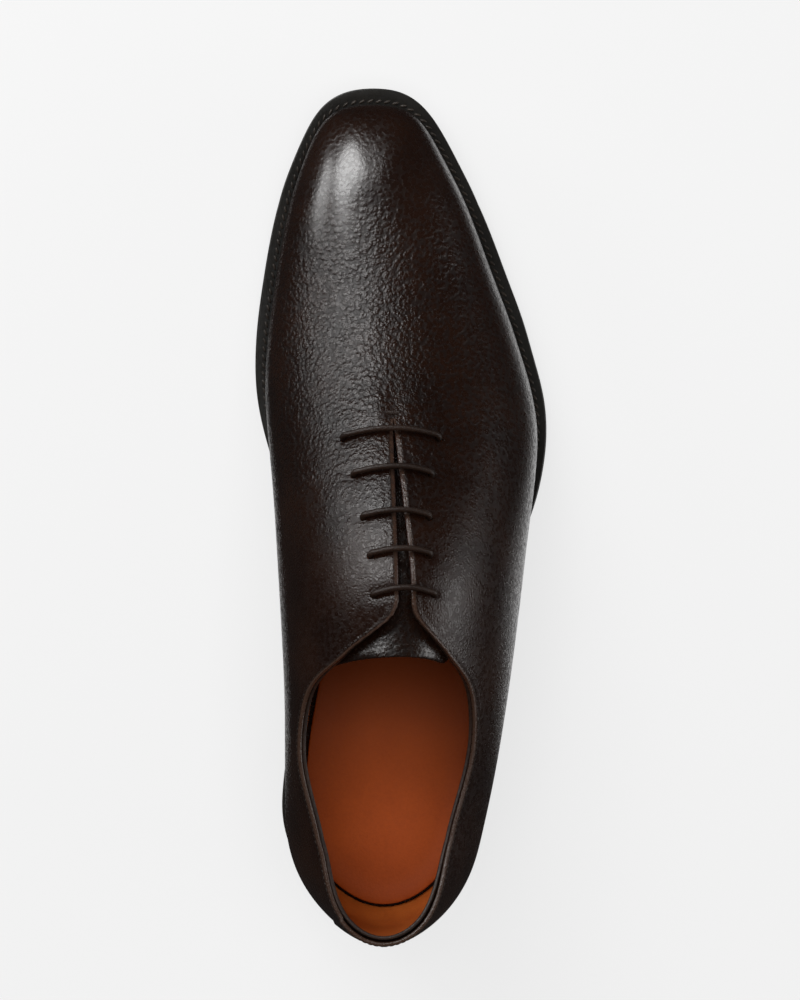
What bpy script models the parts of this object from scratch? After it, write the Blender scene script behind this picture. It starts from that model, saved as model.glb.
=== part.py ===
"""Men's wholecut oxford, right foot: one shoe built the way a maker puts it together.

Sizes are in millimetres and become metres where a vertex is made. Y runs from heel to toe and is
tabled from the back edge of the sole, X runs to the outer (lateral) side and Z is up. The object's
origin is on the floor under the middle of the heel.
"""

import math

import bmesh
import bpy
import numpy as np
from mathutils import Vector

MM = 0.001

# Driving sizes
SHOE_LENGTH = 306.0
HEEL_CENTRE_Y = 36.0
HEEL_BREAST_Y = 69.0
WALL = 2.6
SOLE_THICK = 5.0
WELT_THICK = 3.0
SOCK_THICK = 1.2
GAP = 0.3
FLANGE = 7.0

# Bottom line of the sole: a pitched seat over the heel, a waist, a flat tread and the toe spring
SEAT_BACK_Z = 24.6
SEAT_BREAST_Z = 21.0
SEAT_SLOPE_OUT = -0.11
TREAD_START_Y = 190.0
TREAD_END_Y = 224.0
TOE_SPRING = 9.6
TOE_SPRING_POWER = 1.8

# Sections fan round a heel centre and a toe centre, and lie square across the shoe between them
SECTION_STEP = 14.25
FIRST_SQUARE = 4
LAST_SQUARE = 20
TOE_SECTION = 25
HEEL_FAN_Y = 37.0
TOE_FAN_Y = HEEL_FAN_Y + SECTION_STEP * (LAST_SQUARE - FIRST_SQUARE)
TOE_CREST_SLOPE = 0.16

# The last, section by section from the back of the heel to the toe. spine_x: throat and ridge line.
# crest: ridge height, a guide above the open collar. Each side: x, y of the fullest line of the
# upper, tuck: how far the feather edge lies inside it, reach: how far the sole stands out from there.
LAST_COLUMNS = ("spine_x", "crest",
                "out_x", "out_y", "out_tuck", "out_reach",
                "in_x", "in_y", "in_tuck", "in_reach")
LAST = (
    (0.0, 125.0, 0.0, -1.0, 4.0, 2.7, 0.0, -1.0, 4.0, 2.7),
    (0.0, 120.5, 13.8, 2.6, 4.0, 2.6, -13.8, 2.6, 4.0, 3.1),
    (0.0, 112.5, 24.8, 11.3, 4.0, 2.4, -24.9, 11.5, 3.8, 3.9),
    (0.0, 107.0, 32.0, 23.4, 4.0, 2.3, -32.0, 23.3, 3.4, 4.8),
    (0.0, 104.0, 35.9, 37.0, 4.2, 2.2, -35.2, 37.0, 3.2, 5.5),
    (0.6, 102.0, 39.0, 51.25, 5.4, 1.9, -35.6, 51.25, 3.8, 5.3),
    (1.4, 101.0, 41.7, 65.5, 6.8, 1.7, -35.6, 65.5, 5.0, 4.5),
    (2.6, 101.0, 44.1, 79.75, 7.9, 1.6, -35.7, 79.75, 7.4, 3.3),
    (4.2, 102.3, 46.3, 94.0, 8.5, 1.8, -36.2, 94.0, 10.4, 2.5),
    (6.0, 104.3, 48.3, 108.25, 8.6, 2.7, -37.0, 108.25, 12.4, 2.2),
    (7.2, 104.4, 50.2, 122.5, 8.3, 4.3, -37.9, 122.5, 12.8, 2.6),
    (6.8, 99.9, 52.1, 136.75, 7.0, 6.0, -38.9, 136.75, 11.8, 3.7),
    (5.8, 92.8, 54.2, 151.0, 5.0, 7.3, -40.0, 151.0, 9.3, 4.8),
    (4.7, 84.5, 56.1, 165.25, 3.2, 7.2, -41.4, 165.25, 6.0, 5.5),
    (3.6, 76.0, 56.8, 179.5, 2.0, 6.7, -42.9, 179.5, 3.2, 5.6),
    (2.6, 68.2, 54.9, 193.75, 1.4, 6.7, -43.9, 193.75, 1.8, 5.9),
    (1.5, 61.6, 50.9, 208.0, 1.2, 6.8, -43.5, 208.0, 1.3, 6.3),
    (0.2, 56.3, 46.2, 222.25, 1.0, 7.1, -42.0, 222.25, 1.1, 6.6),
    (-1.2, 52.2, 40.8, 236.5, 1.0, 7.2, -39.9, 236.5, 1.0, 6.6),
    (-2.5, 49.1, 35.5, 250.75, 1.0, 7.1, -37.5, 250.75, 1.0, 6.5),
    (-3.5, 46.6, 29.8, 265.0, 1.0, 6.7, -34.4, 265.0, 1.0, 6.2),
    (-3.5, 46.6, 24.5, 275.6, 1.1, 6.4, -30.9, 276.0, 1.1, 5.9),
    (-3.5, 46.6, 19.2, 285.4, 1.2, 6.6, -26.8, 286.2, 1.2, 5.9),
    (-3.5, 46.6, 13.2, 294.0, 1.3, 7.3, -21.2, 294.7, 1.3, 6.9),
    (-3.5, 46.6, 5.4, 298.6, 1.4, 8.6, -13.1, 298.8, 1.4, 8.5),
    (-3.7, 46.6, -3.7, 299.6, 1.5, 9.2, -3.7, 299.6, 1.5, 9.2),
)

# Shape of each section. bulge: height of the fullest line. wall: how upright the side stays.
# crown: how flat the top stays. top: height of the topline. out and in are the two sides.
FORM_COLUMNS = ("section", "out_bulge", "out_wall", "out_crown", "in_bulge", "in_wall", "in_crown")
FORM = (
    (0, 55.0, 0.76, 0.60, 55.0, 0.76, 0.60),
    (2, 54.0, 0.50, 0.42, 54.0, 0.50, 0.42),
    (4, 53.0, 0.34, 0.33, 53.5, 0.36, 0.36),
    (6, 51.0, 0.45, 0.41, 52.0, 0.62, 0.64),
    (8, 46.5, 0.46, 0.44, 49.0, 0.58, 0.60),
    (10, 40.0, 0.46, 0.46, 45.0, 0.50, 0.52),
    (12, 31.0, 0.47, 0.48, 36.0, 0.50, 0.50),
    (14, 22.5, 0.50, 0.50, 25.0, 0.52, 0.51),
    (16, 19.5, 0.53, 0.53, 20.5, 0.55, 0.53),
    (18, 18.8, 0.56, 0.57, 19.3, 0.57, 0.57),
    (20, 20.0, 0.61, 0.62, 20.3, 0.61, 0.62),
    (22.5, 23.0, 0.64, 0.64, 23.0, 0.64, 0.64),
    (25, 25.5, 0.62, 0.60, 25.5, 0.62, 0.60),
)
TOPLINE_COLUMNS = ("section", "out_top", "in_top")
TOPLINE = (
    (0, 94.0, 94.0),
    (1, 92.8, 92.8),
    (2, 89.8, 90.0),
    (3, 86.6, 87.2),
    (4, 83.9, 85.2),
    (5, 81.8, 83.6),
    (6, 80.8, 82.8),
    (7, 82.4, 84.0),
    (8, 88.6, 89.6),
    (9, 99.4, 99.8),
    (10.5, 112.0, 112.0),
)

# Throat: a slit from the tack at the vamp to the top of the facings
VAMP_POINT_Y = 184.0
FACING_TOP_Y = 124.0
SLIT_TOP_GAP = 3.8
SLIT_POWER = 1.25
THROAT_LEAN = 0.16

# Lacing: five straight bars. bar_y: where its eyelets are. The offsets: from the slit line to each
# eyelet. bow: how far its middle lies towards the toe
LACING_COLUMNS = ("bar_y", "out_offset", "in_offset", "bow")
LACING = (
    (177.2, 15.6, 18.2, 2.6),
    (164.4, 11.9, 15.3, 2.2),
    (150.0, 9.7, 13.0, 1.8),
    (137.2, 9.0, 11.5, 1.8),
    (124.0, 10.0, 10.8, 2.2),
)
LACE_RADIUS = 1.0
EYELET_RADIUS = 1.75
BAR_LIFT = 1.5
BAR_ARCH = 0.5
UNDER_DEPTH = WALL + GAP + LACE_RADIUS + 0.15
LONG_RUN_ASIDE = 3.6

# Tongue
TONGUE_THICK = 2.0
TONGUE_DEPTH = WALL + 3 * GAP + 2 * LACE_RADIUS + 0.3
TONGUE_ROOT_Y = 194.0
TONGUE_SEAT_Y = 185.0
TONGUE_FREE_Y = 179.5
TONGUE_END_Y = 103.0
TONGUE_END_DIP = 5.0
TONGUE_ROOT_HALF = 15.0
TONGUE_END_HALF = 20.5

# Heel
TOP_PIECE_SHARE = 0.26
LIFT_COUNT = 3
HEEL_TAPER = 2.2


def spline(knots, values, slopes=(0.0, 0.0)):
    """A smooth curve through the values, with the given slope at each end."""
    knots, values = np.array(knots, float), np.array(values, float)
    count = len(knots)
    step = np.diff(knots)
    rise = np.diff(values) / step
    system, target = np.zeros((count, count)), np.zeros(count)
    system[0, 0], target[0] = 1.0, slopes[0]
    system[-1, -1], target[-1] = 1.0, slopes[1]
    for i in range(1, count - 1):
        system[i, i - 1 : i + 2] = step[i], 2 * (step[i - 1] + step[i]), step[i - 1]
        target[i] = 3 * (step[i] * rise[i - 1] + step[i - 1] * rise[i])
    slope = np.linalg.solve(system, target)

    def at(u):
        i = int(min(max(np.searchsorted(knots, u) - 1, 0), count - 2))
        s = (u - knots[i]) / step[i]
        return float(values[i] * (1 + 2 * s) * (1 - s) ** 2 + slope[i] * step[i] * s * (1 - s) ** 2
                     + values[i + 1] * s * s * (3 - 2 * s) + slope[i + 1] * step[i] * s * s * (s - 1))

    return at


def closed_spline(values):
    """A smooth closed curve through evenly numbered values."""
    values = np.array(values, float)
    count = len(values)
    system = 4 * np.eye(count) + np.roll(np.eye(count), 1, 0) + np.roll(np.eye(count), -1, 0)
    slope = np.linalg.solve(system, 3 * (np.roll(values, -1) - np.roll(values, 1)))

    def at(u):
        i = int(math.floor(u)) % count
        s, j = u - math.floor(u), (i + 1) % count
        return float(values[i] * (1 + 2 * s) * (1 - s) ** 2 + slope[i] * s * (1 - s) ** 2
                     + values[j] * s * s * (3 - 2 * s) + slope[j] * s * s * (s - 1))

    return at


def column(table, names, name):
    return [row[names.index(name)] for row in table]


def round_both_sides(name):
    """The last's column for both sides, as one curve from the back round the toe and back again."""
    out = column(LAST, LAST_COLUMNS, "out_" + name)
    inner = column(LAST, LAST_COLUMNS, "in_" + name)
    return closed_spline(out + inner[-2:0:-1])


EDGE = {name: round_both_sides(name) for name in ("x", "y", "tuck", "reach")}
SQUARE_KNOTS = range(FIRST_SQUARE, LAST_SQUARE + 1)
SPINE_X = spline(SQUARE_KNOTS, column(LAST, LAST_COLUMNS, "spine_x")[FIRST_SQUARE : LAST_SQUARE + 1])
CREST = spline(range(LAST_SQUARE + 1), column(LAST, LAST_COLUMNS, "crest")[: LAST_SQUARE + 1],
               (0.0, -TOE_CREST_SLOPE * SECTION_STEP))
FORMS = {name: spline(column(FORM, FORM_COLUMNS, "section"), column(FORM, FORM_COLUMNS, name))
         for name in FORM_COLUMNS[1:]}
TOPS = {name: spline(column(TOPLINE, TOPLINE_COLUMNS, "section"),
                     column(TOPLINE, TOPLINE_COLUMNS, name), (0.0, 8.0))
        for name in TOPLINE_COLUMNS[1:]}
SIDES = ("out", "in")


def section_at(y):
    """The number of the square section at this y."""
    return FIRST_SQUARE + (y - HEEL_FAN_Y) / SECTION_STEP


def sole_underside(y):
    """Height of the sole's tread side above the floor."""
    if y <= HEEL_BREAST_Y:
        return SEAT_BACK_Z + (SEAT_BREAST_Z - SEAT_BACK_Z) * max(y, 0.0) / HEEL_BREAST_Y
    if y <= TREAD_START_Y:
        run = TREAD_START_Y - HEEL_BREAST_Y
        s = (y - HEEL_BREAST_Y) / run
        return SEAT_BREAST_Z * (1 + 2 * s) * (1 - s) ** 2 + SEAT_SLOPE_OUT * run * s * (1 - s) ** 2
    if y <= TREAD_END_Y:
        return 0.0
    return TOE_SPRING * ((y - TREAD_END_Y) / (SHOE_LENGTH - TREAD_END_Y)) ** TOE_SPRING_POWER


WELT_BASE = SOLE_THICK + GAP
FEATHER = WELT_BASE + WELT_THICK + GAP


class Section:
    """One half section of the shoe: side is out or in, u is the section's number."""

    def __init__(self, side, u):
        self.side, self.u = side, u
        perimeter = u if side == "out" else 2 * TOE_SECTION - u
        square = min(max(u, FIRST_SQUARE), LAST_SQUARE)
        self.spine = np.array([SPINE_X(square), HEEL_FAN_Y + SECTION_STEP * (square - FIRST_SQUARE)])
        self.edge = np.array([EDGE["x"](perimeter), EDGE["y"](perimeter)])
        self.width = float(np.linalg.norm(self.edge - self.spine))
        self.away = (self.edge - self.spine) / self.width
        self.tuck, self.reach = EDGE["tuck"](perimeter), EDGE["reach"](perimeter)
        self.feather = self.edge - self.tuck * self.away
        self.feather_z = sole_underside(self.feather[1]) + FEATHER
        self.margin = self.feather - FLANGE * self.away
        self.bulge = FORMS[side + "_bulge"](u)
        self.wall, self.crown = FORMS[side + "_wall"](u), FORMS[side + "_crown"](u)
        self.crest = CREST(min(u, LAST_SQUARE))
        throat = max(0.0, 1.0 - abs(self.spine[1] - 0.5 * (VAMP_POINT_Y + FACING_TOP_Y)) / 95.0)
        self.lean = THROAT_LEAN * throat * throat * (3 - 2 * throat) * (-1 if side == "out" else 1)

    def share(self, q):
        """Plan distance from the spine, as a share of the width, at q from 0 (bulge) to 1 (crest)."""
        return (1 - q) ** 3 + 3 * (1 - q) ** 2 * q + 3 * (1 - q) * q * q * self.crown

    def point(self, q):
        """A point of the upper's outside: q is -1 at the feather, 0 at the bulge and 1 at the crest."""
        if q < 0:
            plan = self.edge - self.tuck * q * q * self.away
            return np.array([*plan, self.bulge + (self.bulge - self.feather_z) * q])
        r = self.share(q)
        rise = 3 * (1 - q) ** 2 * q * self.wall + 3 * (1 - q) * q * q + q ** 3
        plan = self.spine + r * self.width * self.away
        crest = self.crest - TOE_CREST_SLOPE * max(0.0, plan[1] - TOE_FAN_Y)
        z = self.bulge + (crest - self.bulge) * rise + self.lean * r * self.width * (1 - r) ** 2
        return np.array([*plan, z])

    def neighbour(self, step):
        """The half section this far on; past the heel's back or the toe's tip it is on the other side."""
        u = self.u + step
        if 0.0 <= u <= TOE_SECTION:
            return Section(self.side, u)
        other = "in" if self.side == "out" else "out"
        return Section(other, -u if u < 0 else 2 * TOE_SECTION - u)

    def normal(self, q):
        """Outward unit normal of the upper's outside."""
        step = 0.004
        if q > 1 - step and self.u >= LAST_SQUARE:
            n = np.array([0.0, TOE_CREST_SLOPE, 1.0])
            return n / np.linalg.norm(n)
        along = self.neighbour(step).point(q) - self.neighbour(-step).point(q)
        up = self.point(q + step) - self.point(q - step)
        n = np.cross(along, up) * (1 if self.side == "out" else -1)
        return n / np.linalg.norm(n)

    def at(self, q, depth=0.0):
        """A point this deep under the upper's outside."""
        return self.point(q) - depth * self.normal(q) if depth else self.point(q)

    def find(self, measure, target):
        """The q from 0 to 1 where a measure that grows or falls along the section meets its target."""
        low, high = 0.0, 1.0
        rising = measure(1.0) > measure(0.0)
        for _ in range(30):
            middle = 0.5 * (low + high)
            if (measure(middle) < target) == rising:
                low = middle
            else:
                high = middle
        return 0.5 * (low + high)

    def q_at_distance(self, distance):
        return self.find(lambda q: self.share(q) * self.width, distance)

    def top_q(self):
        """Where the upper ends: on the ridge, at the slit or at the topline."""
        y = self.spine[1]
        if self.u >= section_at(VAMP_POINT_Y):
            return 1.0
        opened = ((VAMP_POINT_Y - y) / (VAMP_POINT_Y - FACING_TOP_Y)) ** SLIT_POWER
        slit = self.q_at_distance(0.5 * SLIT_TOP_GAP * min(opened, 1.0))
        if self.u > 10.4:
            return slit
        top = TOPS[self.side + "_top"](self.u)
        return min(slit, self.find(lambda q: self.point(q)[2], top))

    def lining_start(self):
        """The q, from -1, where the inside of the wall meets the turned-in margin."""
        low, high = -1.0, 0.0
        for _ in range(24):
            middle = 0.5 * (low + high)
            inside = self.at(middle, WALL)
            if inside[2] < sole_underside(inside[1]) + FEATHER + WALL:
                low = middle
            else:
                high = middle
        return high


def rib_numbers():
    """Section numbers of the solids: close together round the heel, the toe and the collar's front."""
    heel = np.arange(0, FIRST_SQUARE, 0.5)
    middle = [4, 5, 6, 7, 7.6, 8.1, 8.5, 8.9, 9.25, 9.6, 9.85, section_at(FACING_TOP_Y),
              10.7, 11.4, 12.1, 12.8, 13.6, section_at(VAMP_POINT_Y), 14.9, 15.5, 16.2, 17, 18, 19]
    toe = np.arange(LAST_SQUARE, TOE_SECTION + 0.1, 0.5)
    return [float(u) for u in (*heel, *middle, *toe)]


RIBS = rib_numbers()
SECTIONS = {side: [Section(side, u) for u in RIBS] for side in SIDES}


def metres(point):
    return Vector((point[0] * MM, (point[1] - HEEL_CENTRE_Y) * MM, point[2] * MM))


def finish_mesh(name, bm, colour, roughness, smooth_angle=None):
    """Welds the shape, points its faces outwards and gives it its own material."""
    bmesh.ops.remove_doubles(bm, verts=bm.verts, dist=2e-6)
    bmesh.ops.dissolve_degenerate(bm, edges=bm.edges, dist=1e-6)
    bmesh.ops.recalc_face_normals(bm, faces=bm.faces)
    mesh = bpy.data.meshes.new(name)
    bm.to_mesh(mesh)
    bm.free()
    part = bpy.data.objects.new(name, mesh)
    bpy.context.collection.objects.link(part)
    paint(part, colour, roughness)
    if smooth_angle:
        mesh.shade_smooth()
        mesh.set_sharp_from_angle(angle=math.radians(smooth_angle))
    return part


def paint(part, colour, roughness):
    material = bpy.data.materials.new(part.name)
    material.use_nodes = True
    shader = material.node_tree.nodes["Principled BSDF"]
    shader.inputs["Base Color"].default_value = (*colour, 1.0)
    shader.inputs["Roughness"].default_value = roughness
    shader.inputs["Metallic"].default_value = 0.0
    part.data.materials.append(material)


def grid_faces(bm, rows):
    """Quads between neighbouring rows of points, which all have the same length."""
    made = [[bm.verts.new(metres(p)) for p in row] for row in rows]
    for first, second in zip(made, made[1:]):
        for a, b, c, d in zip(first, first[1:], second[1:], second):
            bm.faces.new((a, b, c, d))


WALL_STEPS = (-1.0, -0.6, -0.25, 0.0)
RISE_STEPS = 8
BROWN = (0.045, 0.024, 0.016)
EDGE_BLACK = (0.012, 0.010, 0.009)
TAN = (0.42, 0.15, 0.05)


def side_qs(start, end):
    """The q values of one rib: the wall below the bulge, then the rise to the top edge."""
    below = [start + (q + 1.0) * (0.0 - start) for q in WALL_STEPS]
    return below + [end * (i + 1) / RISE_STEPS for i in range(RISE_STEPS)]


def upper_loop(section):
    """One rib of the shell, round from the margin's edge, up the outside and down the lining."""
    end = section.top_q()
    ridge = section if end < 1.0 or section.side == "out" else Section("out", section.u)
    margin_z = sole_underside(section.margin[1]) + FEATHER
    outside = [section.point(q) for q in side_qs(-1.0, end)[:-1]] + [ridge.point(end)]
    lining = [section.at(q, WALL) for q in side_qs(section.lining_start(), end)[:-1]]
    lining.append(ridge.at(end, WALL))
    foot = [np.array([*section.margin, margin_z]), *outside]
    return foot, [*reversed(lining), np.array([*section.margin, margin_z + WALL])]


def build_upper():
    bm = bmesh.new()
    open_until = section_at(VAMP_POINT_Y)
    for side in SIDES:
        loops = [upper_loop(s) for s in SECTIONS[side]]
        grid_faces(bm, [outside for outside, _ in loops])
        grid_faces(bm, [lining for _, lining in loops])
        grid_faces(bm, [(lining[-1], outside[0]) for outside, lining in loops])
        rim = [(outside[-1], lining[0]) for (outside, lining), u in zip(loops, RIBS) if u <= open_until]
        grid_faces(bm, rim)
    return finish_mesh("upper", bm, BROWN, 0.4, 40)


def eyelet_frame(side, row):
    """An eyelet's place on the upper's outside, and the way out through the hole."""
    y, offset = LACING[row][0], LACING[row][1 if side == "out" else 2]
    section = Section(side, section_at(y))
    q = section.q_at_distance(offset)
    return section.point(q), section.normal(q)


def punch_eyelets(upper):
    """Ten round holes through the facings."""
    for side in SIDES:
        for row in range(len(LACING)):
            centre, normal = eyelet_frame(side, row)
            bm = bmesh.new()
            bmesh.ops.create_cone(bm, cap_ends=True, segments=10, radius1=EYELET_RADIUS * MM,
                                  radius2=EYELET_RADIUS * MM, depth=4 * WALL * MM)
            punch = finish_mesh(f"punch_{side}_{row + 1}", bm, EDGE_BLACK, 0.5)
            punch.rotation_mode = "QUATERNION"
            punch.rotation_quaternion = Vector(normal).to_track_quat("Z", "Y")
            punch.location = metres(centre - 0.5 * WALL * normal)
            punch.hide_render = True
            punch.display_type = "WIRE"
            cut = upper.modifiers.new(f"eyelet_{side}_{row + 1}", "BOOLEAN")
            cut.operation = "DIFFERENCE"
            cut.object = punch


def surface_point(side, y, distance, lift):
    """A point over (or, with a negative lift, under) the upper at a distance from the slit line."""
    section = Section(side, section_at(y))
    return section.at(section.q_at_distance(distance), -lift)


def lace_bar(row, from_side):
    """Points of one bar from eyelet to eyelet, lying on the facings and just clear of them."""
    y, out_offset, in_offset, bow = LACING[row]
    points = []
    steps = (-0.93, -0.72, -0.45, -0.15, 0.15, 0.45, 0.72, 0.93)
    for step in steps:
        side, offset = ("in", in_offset) if step < 0 else ("out", out_offset)
        lift = BAR_LIFT + BAR_ARCH * (1 - step * step)
        points.append(surface_point(side, y + bow * (1 - step * step), abs(step) * offset, lift))
    return points if from_side == "in" else points[::-1]


def through_eyelet(side, row, toward, downward):
    """The turn through one hole: down the hole's axis and under the facing toward a point."""
    centre, normal = eyelet_frame(side, row)
    away = toward - centre
    away = away - normal * (away @ normal)
    away = away / np.linalg.norm(away)
    turn = [centre + 0.25 * normal, centre - (WALL + 0.3) * normal,
            centre - UNDER_DEPTH * normal + 1.3 * away]
    return turn if downward else turn[::-1]


def lace_route():
    """The lace's centreline: five bars joined under the facings, the first end led up to the top eyelet."""
    route = []
    aside = [surface_point("in", y, LACING[row][2] + LONG_RUN_ASIDE, -UNDER_DEPTH)
             for row, y in ((4, 124.5), (3, 136.7), (2, 150.0), (1, 163.0))]
    route += aside
    route += through_eyelet("in", 0, aside[-1], False)
    side = "in"
    for row in range(len(LACING)):
        other = "out" if side == "in" else "in"
        route += lace_bar(row, side)
        if row + 1 == len(LACING):
            back = eyelet_frame(other, row - 1)[0]
            route += through_eyelet(other, row, back, True)
            break
        here, there = eyelet_frame(other, row)[0], eyelet_frame(other, row + 1)[0]
        route += through_eyelet(other, row, there, True)
        route += through_eyelet(other, row + 1, here, False)
        side = other
    return route


def build_lace():
    curve = bpy.data.curves.new("lace", "CURVE")
    curve.dimensions = "3D"
    curve.bevel_depth = LACE_RADIUS * MM
    curve.bevel_resolution = 2
    curve.use_fill_caps = True
    route = lace_route()
    line = curve.splines.new("POLY")
    line.points.add(len(route) - 1)
    for point, place in zip(line.points, route):
        point.co = (*metres(place), 1.0)
    lace = bpy.data.objects.new("lace", curve)
    bpy.context.collection.objects.link(lace)
    paint(lace, (0.07, 0.038, 0.026), 0.6)
    return lace


def tongue_point(y, across, extra):
    """A point of the tongue: across runs from -1 (inner) to 1 (outer), extra is depth in its leather."""
    share = (TONGUE_ROOT_Y - y) / (TONGUE_ROOT_Y - TONGUE_END_Y)
    half = TONGUE_ROOT_HALF + (TONGUE_END_HALF - TONGUE_ROOT_HALF) * min(1.0, 1.4 * share)
    free = min(max((TONGUE_SEAT_Y - y) / (TONGUE_SEAT_Y - TONGUE_FREE_Y + 6.0), 0.0), 1.0)
    depth = (WALL + GAP) + (TONGUE_DEPTH - WALL - GAP) * free * free * (3 - 2 * free)
    side = "out" if across >= 0 else "in"
    section = Section(side, section_at(y))
    return section.at(section.q_at_distance(abs(across) * half), depth + extra)


def build_tongue():
    """A saddle of leather under the facings, seated against the vamp at its root."""
    across = [i / 5 for i in range(-5, 6)]
    along = [i / 13 for i in range(14)]
    bm = bmesh.new()
    layers = []
    for extra in (0.0, TONGUE_THICK):
        rows = []
        for s in along:
            row = []
            for a in across:
                end = TONGUE_END_Y - TONGUE_END_DIP * a * a
                row.append(tongue_point(TONGUE_ROOT_Y + (end - TONGUE_ROOT_Y) * s, a, extra))
            rows.append(row)
        layers.append(rows)
        grid_faces(bm, rows)
    top, bottom = layers
    rim = [(list(a), list(b)) for a, b in zip(top, bottom)]
    for edge in (0, -1):
        grid_faces(bm, [(a[edge], b[edge]) for a, b in rim])
        grid_faces(bm, list(zip(top[edge], bottom[edge])))
    return finish_mesh("tongue", bm, BROWN, 0.35, 40)


def plate_rib(section, outline, low, high, chamfer):
    """One rib of a plate: from the spine out along the top, round its edge and back underneath."""
    edge = section.feather + outline(section) * section.away
    shy = edge - chamfer * section.away

    def lift(plan, height):
        return np.array([*plan, height(plan[1])])

    middle = section.spine + 0.6 * (edge - section.spine)
    top = [lift(section.spine, high), lift(middle, high), lift(shy, high)]
    side = [lift(edge, lambda y: high(y) - chamfer), lift(edge, lambda y: low(y) + chamfer)]
    return top + side + [lift(shy, low), lift(middle, low), lift(section.spine, low)]


def build_plate(name, outline, low, high, colour, roughness, chamfer=0.5, until=None):
    """A plate over the shoe's plan, whole or only back to front as far as a section number."""
    bm = bmesh.new()
    for side in SIDES:
        kept = [s for s in SECTIONS[side] if until is None or s.u < until - 1e-6]
        if until is not None:
            kept.append(Section(side, until))
        ribs = [plate_rib(s, outline, low, high, chamfer) for s in kept]
        grid_faces(bm, ribs)
        if until is not None:
            front = ribs[-1]
            half = len(front) // 2
            grid_faces(bm, list(zip(front[:half], front[:half - 1:-1])))
    return finish_mesh(name, bm, colour, roughness, 30)


def build_strip(name, inner, outer, low, high, numbers, closed_toe, colour, chamfer=0.4):
    """A strip that runs round the edge, over the toe or round the heel, with square ends."""
    bm = bmesh.new()
    for side in SIDES:
        rings = []
        for u in numbers:
            s = Section(side, u)
            a, b = s.feather + inner(s) * s.away, s.feather + outer(s) * s.away
            shy = b - chamfer * s.away
            za, zb = low(b[1]), high(b[1])
            rings.append([np.array([*a, low(a[1])]), np.array([*shy, za]), np.array([*b, za + chamfer]),
                          np.array([*b, zb - chamfer]), np.array([*shy, zb]), np.array([*a, high(a[1])])])
        grid_faces(bm, [ring + ring[:1] for ring in rings])
        end = rings[0] if closed_toe else rings[-1]
        bm.faces.new([bm.verts.new(metres(p)) for p in end])
    return finish_mesh(name, bm, colour, 0.35, 30)


def stacked(offset):
    """A height that follows the sole's underside, this far above it."""
    return lambda y: sole_underside(y) + offset


def sole_reach(section):
    return section.reach


def heel_outline(share):
    """The heel block's outline at a share of its height: it tapers in towards the floor."""
    return lambda section: section.reach - HEEL_TAPER * (1 - share)


def build_bottom():
    """Outsole, welt, heel rand and the lifts of the heel, from named thicknesses."""
    build_plate("outsole", sole_reach, stacked(0.0), stacked(SOLE_THICK), EDGE_BLACK, 0.3, 0.8)
    breast = section_at(HEEL_BREAST_Y)
    joint = breast + 0.5 * GAP / SECTION_STEP
    around = [u for u in RIBS if u > joint + 0.05]
    build_strip("welt", lambda s: -FLANGE, lambda s: s.reach - 0.4, stacked(WELT_BASE),
                stacked(WELT_BASE + WELT_THICK), [joint, *around], True, EDGE_BLACK)
    behind = [u for u in RIBS if u < breast - 0.05]
    build_strip("heel_rand", lambda s: -FLANGE, lambda s: s.reach - 0.7, stacked(WELT_BASE),
                stacked(WELT_BASE + WELT_THICK), [*behind, breast - 0.5 * GAP / SECTION_STEP], False,
                EDGE_BLACK)
    bounds = [0.0, TOP_PIECE_SHARE]
    bounds += [TOP_PIECE_SHARE + (1 - TOP_PIECE_SHARE) * (i + 1) / LIFT_COUNT for i in range(LIFT_COUNT)]
    names = ["heel_top_piece"] + [f"heel_lift_{i + 1}" for i in range(LIFT_COUNT)]
    for name, low, high in zip(names, bounds, bounds[1:]):
        under = (lambda y, low=low: low * sole_underside(y))
        over = (lambda y, high=high: high * sole_underside(y) - GAP)
        build_plate(name, heel_outline(0.5 * (low + high)), under, over, EDGE_BLACK, 0.35, 0.3, breast)


def build_inside():
    """The insole inside the turned-in margin, and the sock that covers both."""
    build_plate("insole", lambda s: -FLANGE - GAP, stacked(WELT_BASE), stacked(FEATHER + WALL), TAN, 0.7, 0.3)
    build_plate("sock", lambda s: -WALL - 0.6, stacked(FEATHER + WALL + GAP),
                stacked(FEATHER + WALL + GAP + SOCK_THICK), TAN, 0.5, 0.3)


def main():
    for old in list(bpy.data.objects):
        bpy.data.objects.remove(old, do_unlink=True)
    upper = build_upper()
    punch_eyelets(upper)
    build_tongue()
    build_lace()
    build_bottom()
    build_inside()


main()
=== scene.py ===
# %% [markdown]
# # A wholecut oxford
# A wholecut is a shoe whose upper is one single piece of leather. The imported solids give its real
# size, so the lesson starts by loading them. Every finished piece below is made in the same frame:
# metres, +Y from heel to toe, +X to the outer side of the foot, +Z up, origin under the heel.

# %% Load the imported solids
import math
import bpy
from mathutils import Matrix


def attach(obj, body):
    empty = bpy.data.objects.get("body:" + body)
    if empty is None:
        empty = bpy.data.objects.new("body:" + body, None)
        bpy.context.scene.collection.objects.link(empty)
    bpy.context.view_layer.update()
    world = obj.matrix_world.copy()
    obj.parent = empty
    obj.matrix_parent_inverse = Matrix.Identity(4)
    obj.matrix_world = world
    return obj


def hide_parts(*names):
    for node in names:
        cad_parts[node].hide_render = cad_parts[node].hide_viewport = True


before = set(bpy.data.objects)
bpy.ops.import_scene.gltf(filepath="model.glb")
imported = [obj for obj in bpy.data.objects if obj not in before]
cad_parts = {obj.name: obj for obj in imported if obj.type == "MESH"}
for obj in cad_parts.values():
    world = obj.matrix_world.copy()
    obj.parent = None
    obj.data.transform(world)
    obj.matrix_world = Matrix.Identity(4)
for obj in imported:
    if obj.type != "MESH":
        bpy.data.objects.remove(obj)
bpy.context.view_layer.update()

from types import SimpleNamespace

import bmesh
import bpy
import numpy as np
from mathutils import Vector

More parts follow.
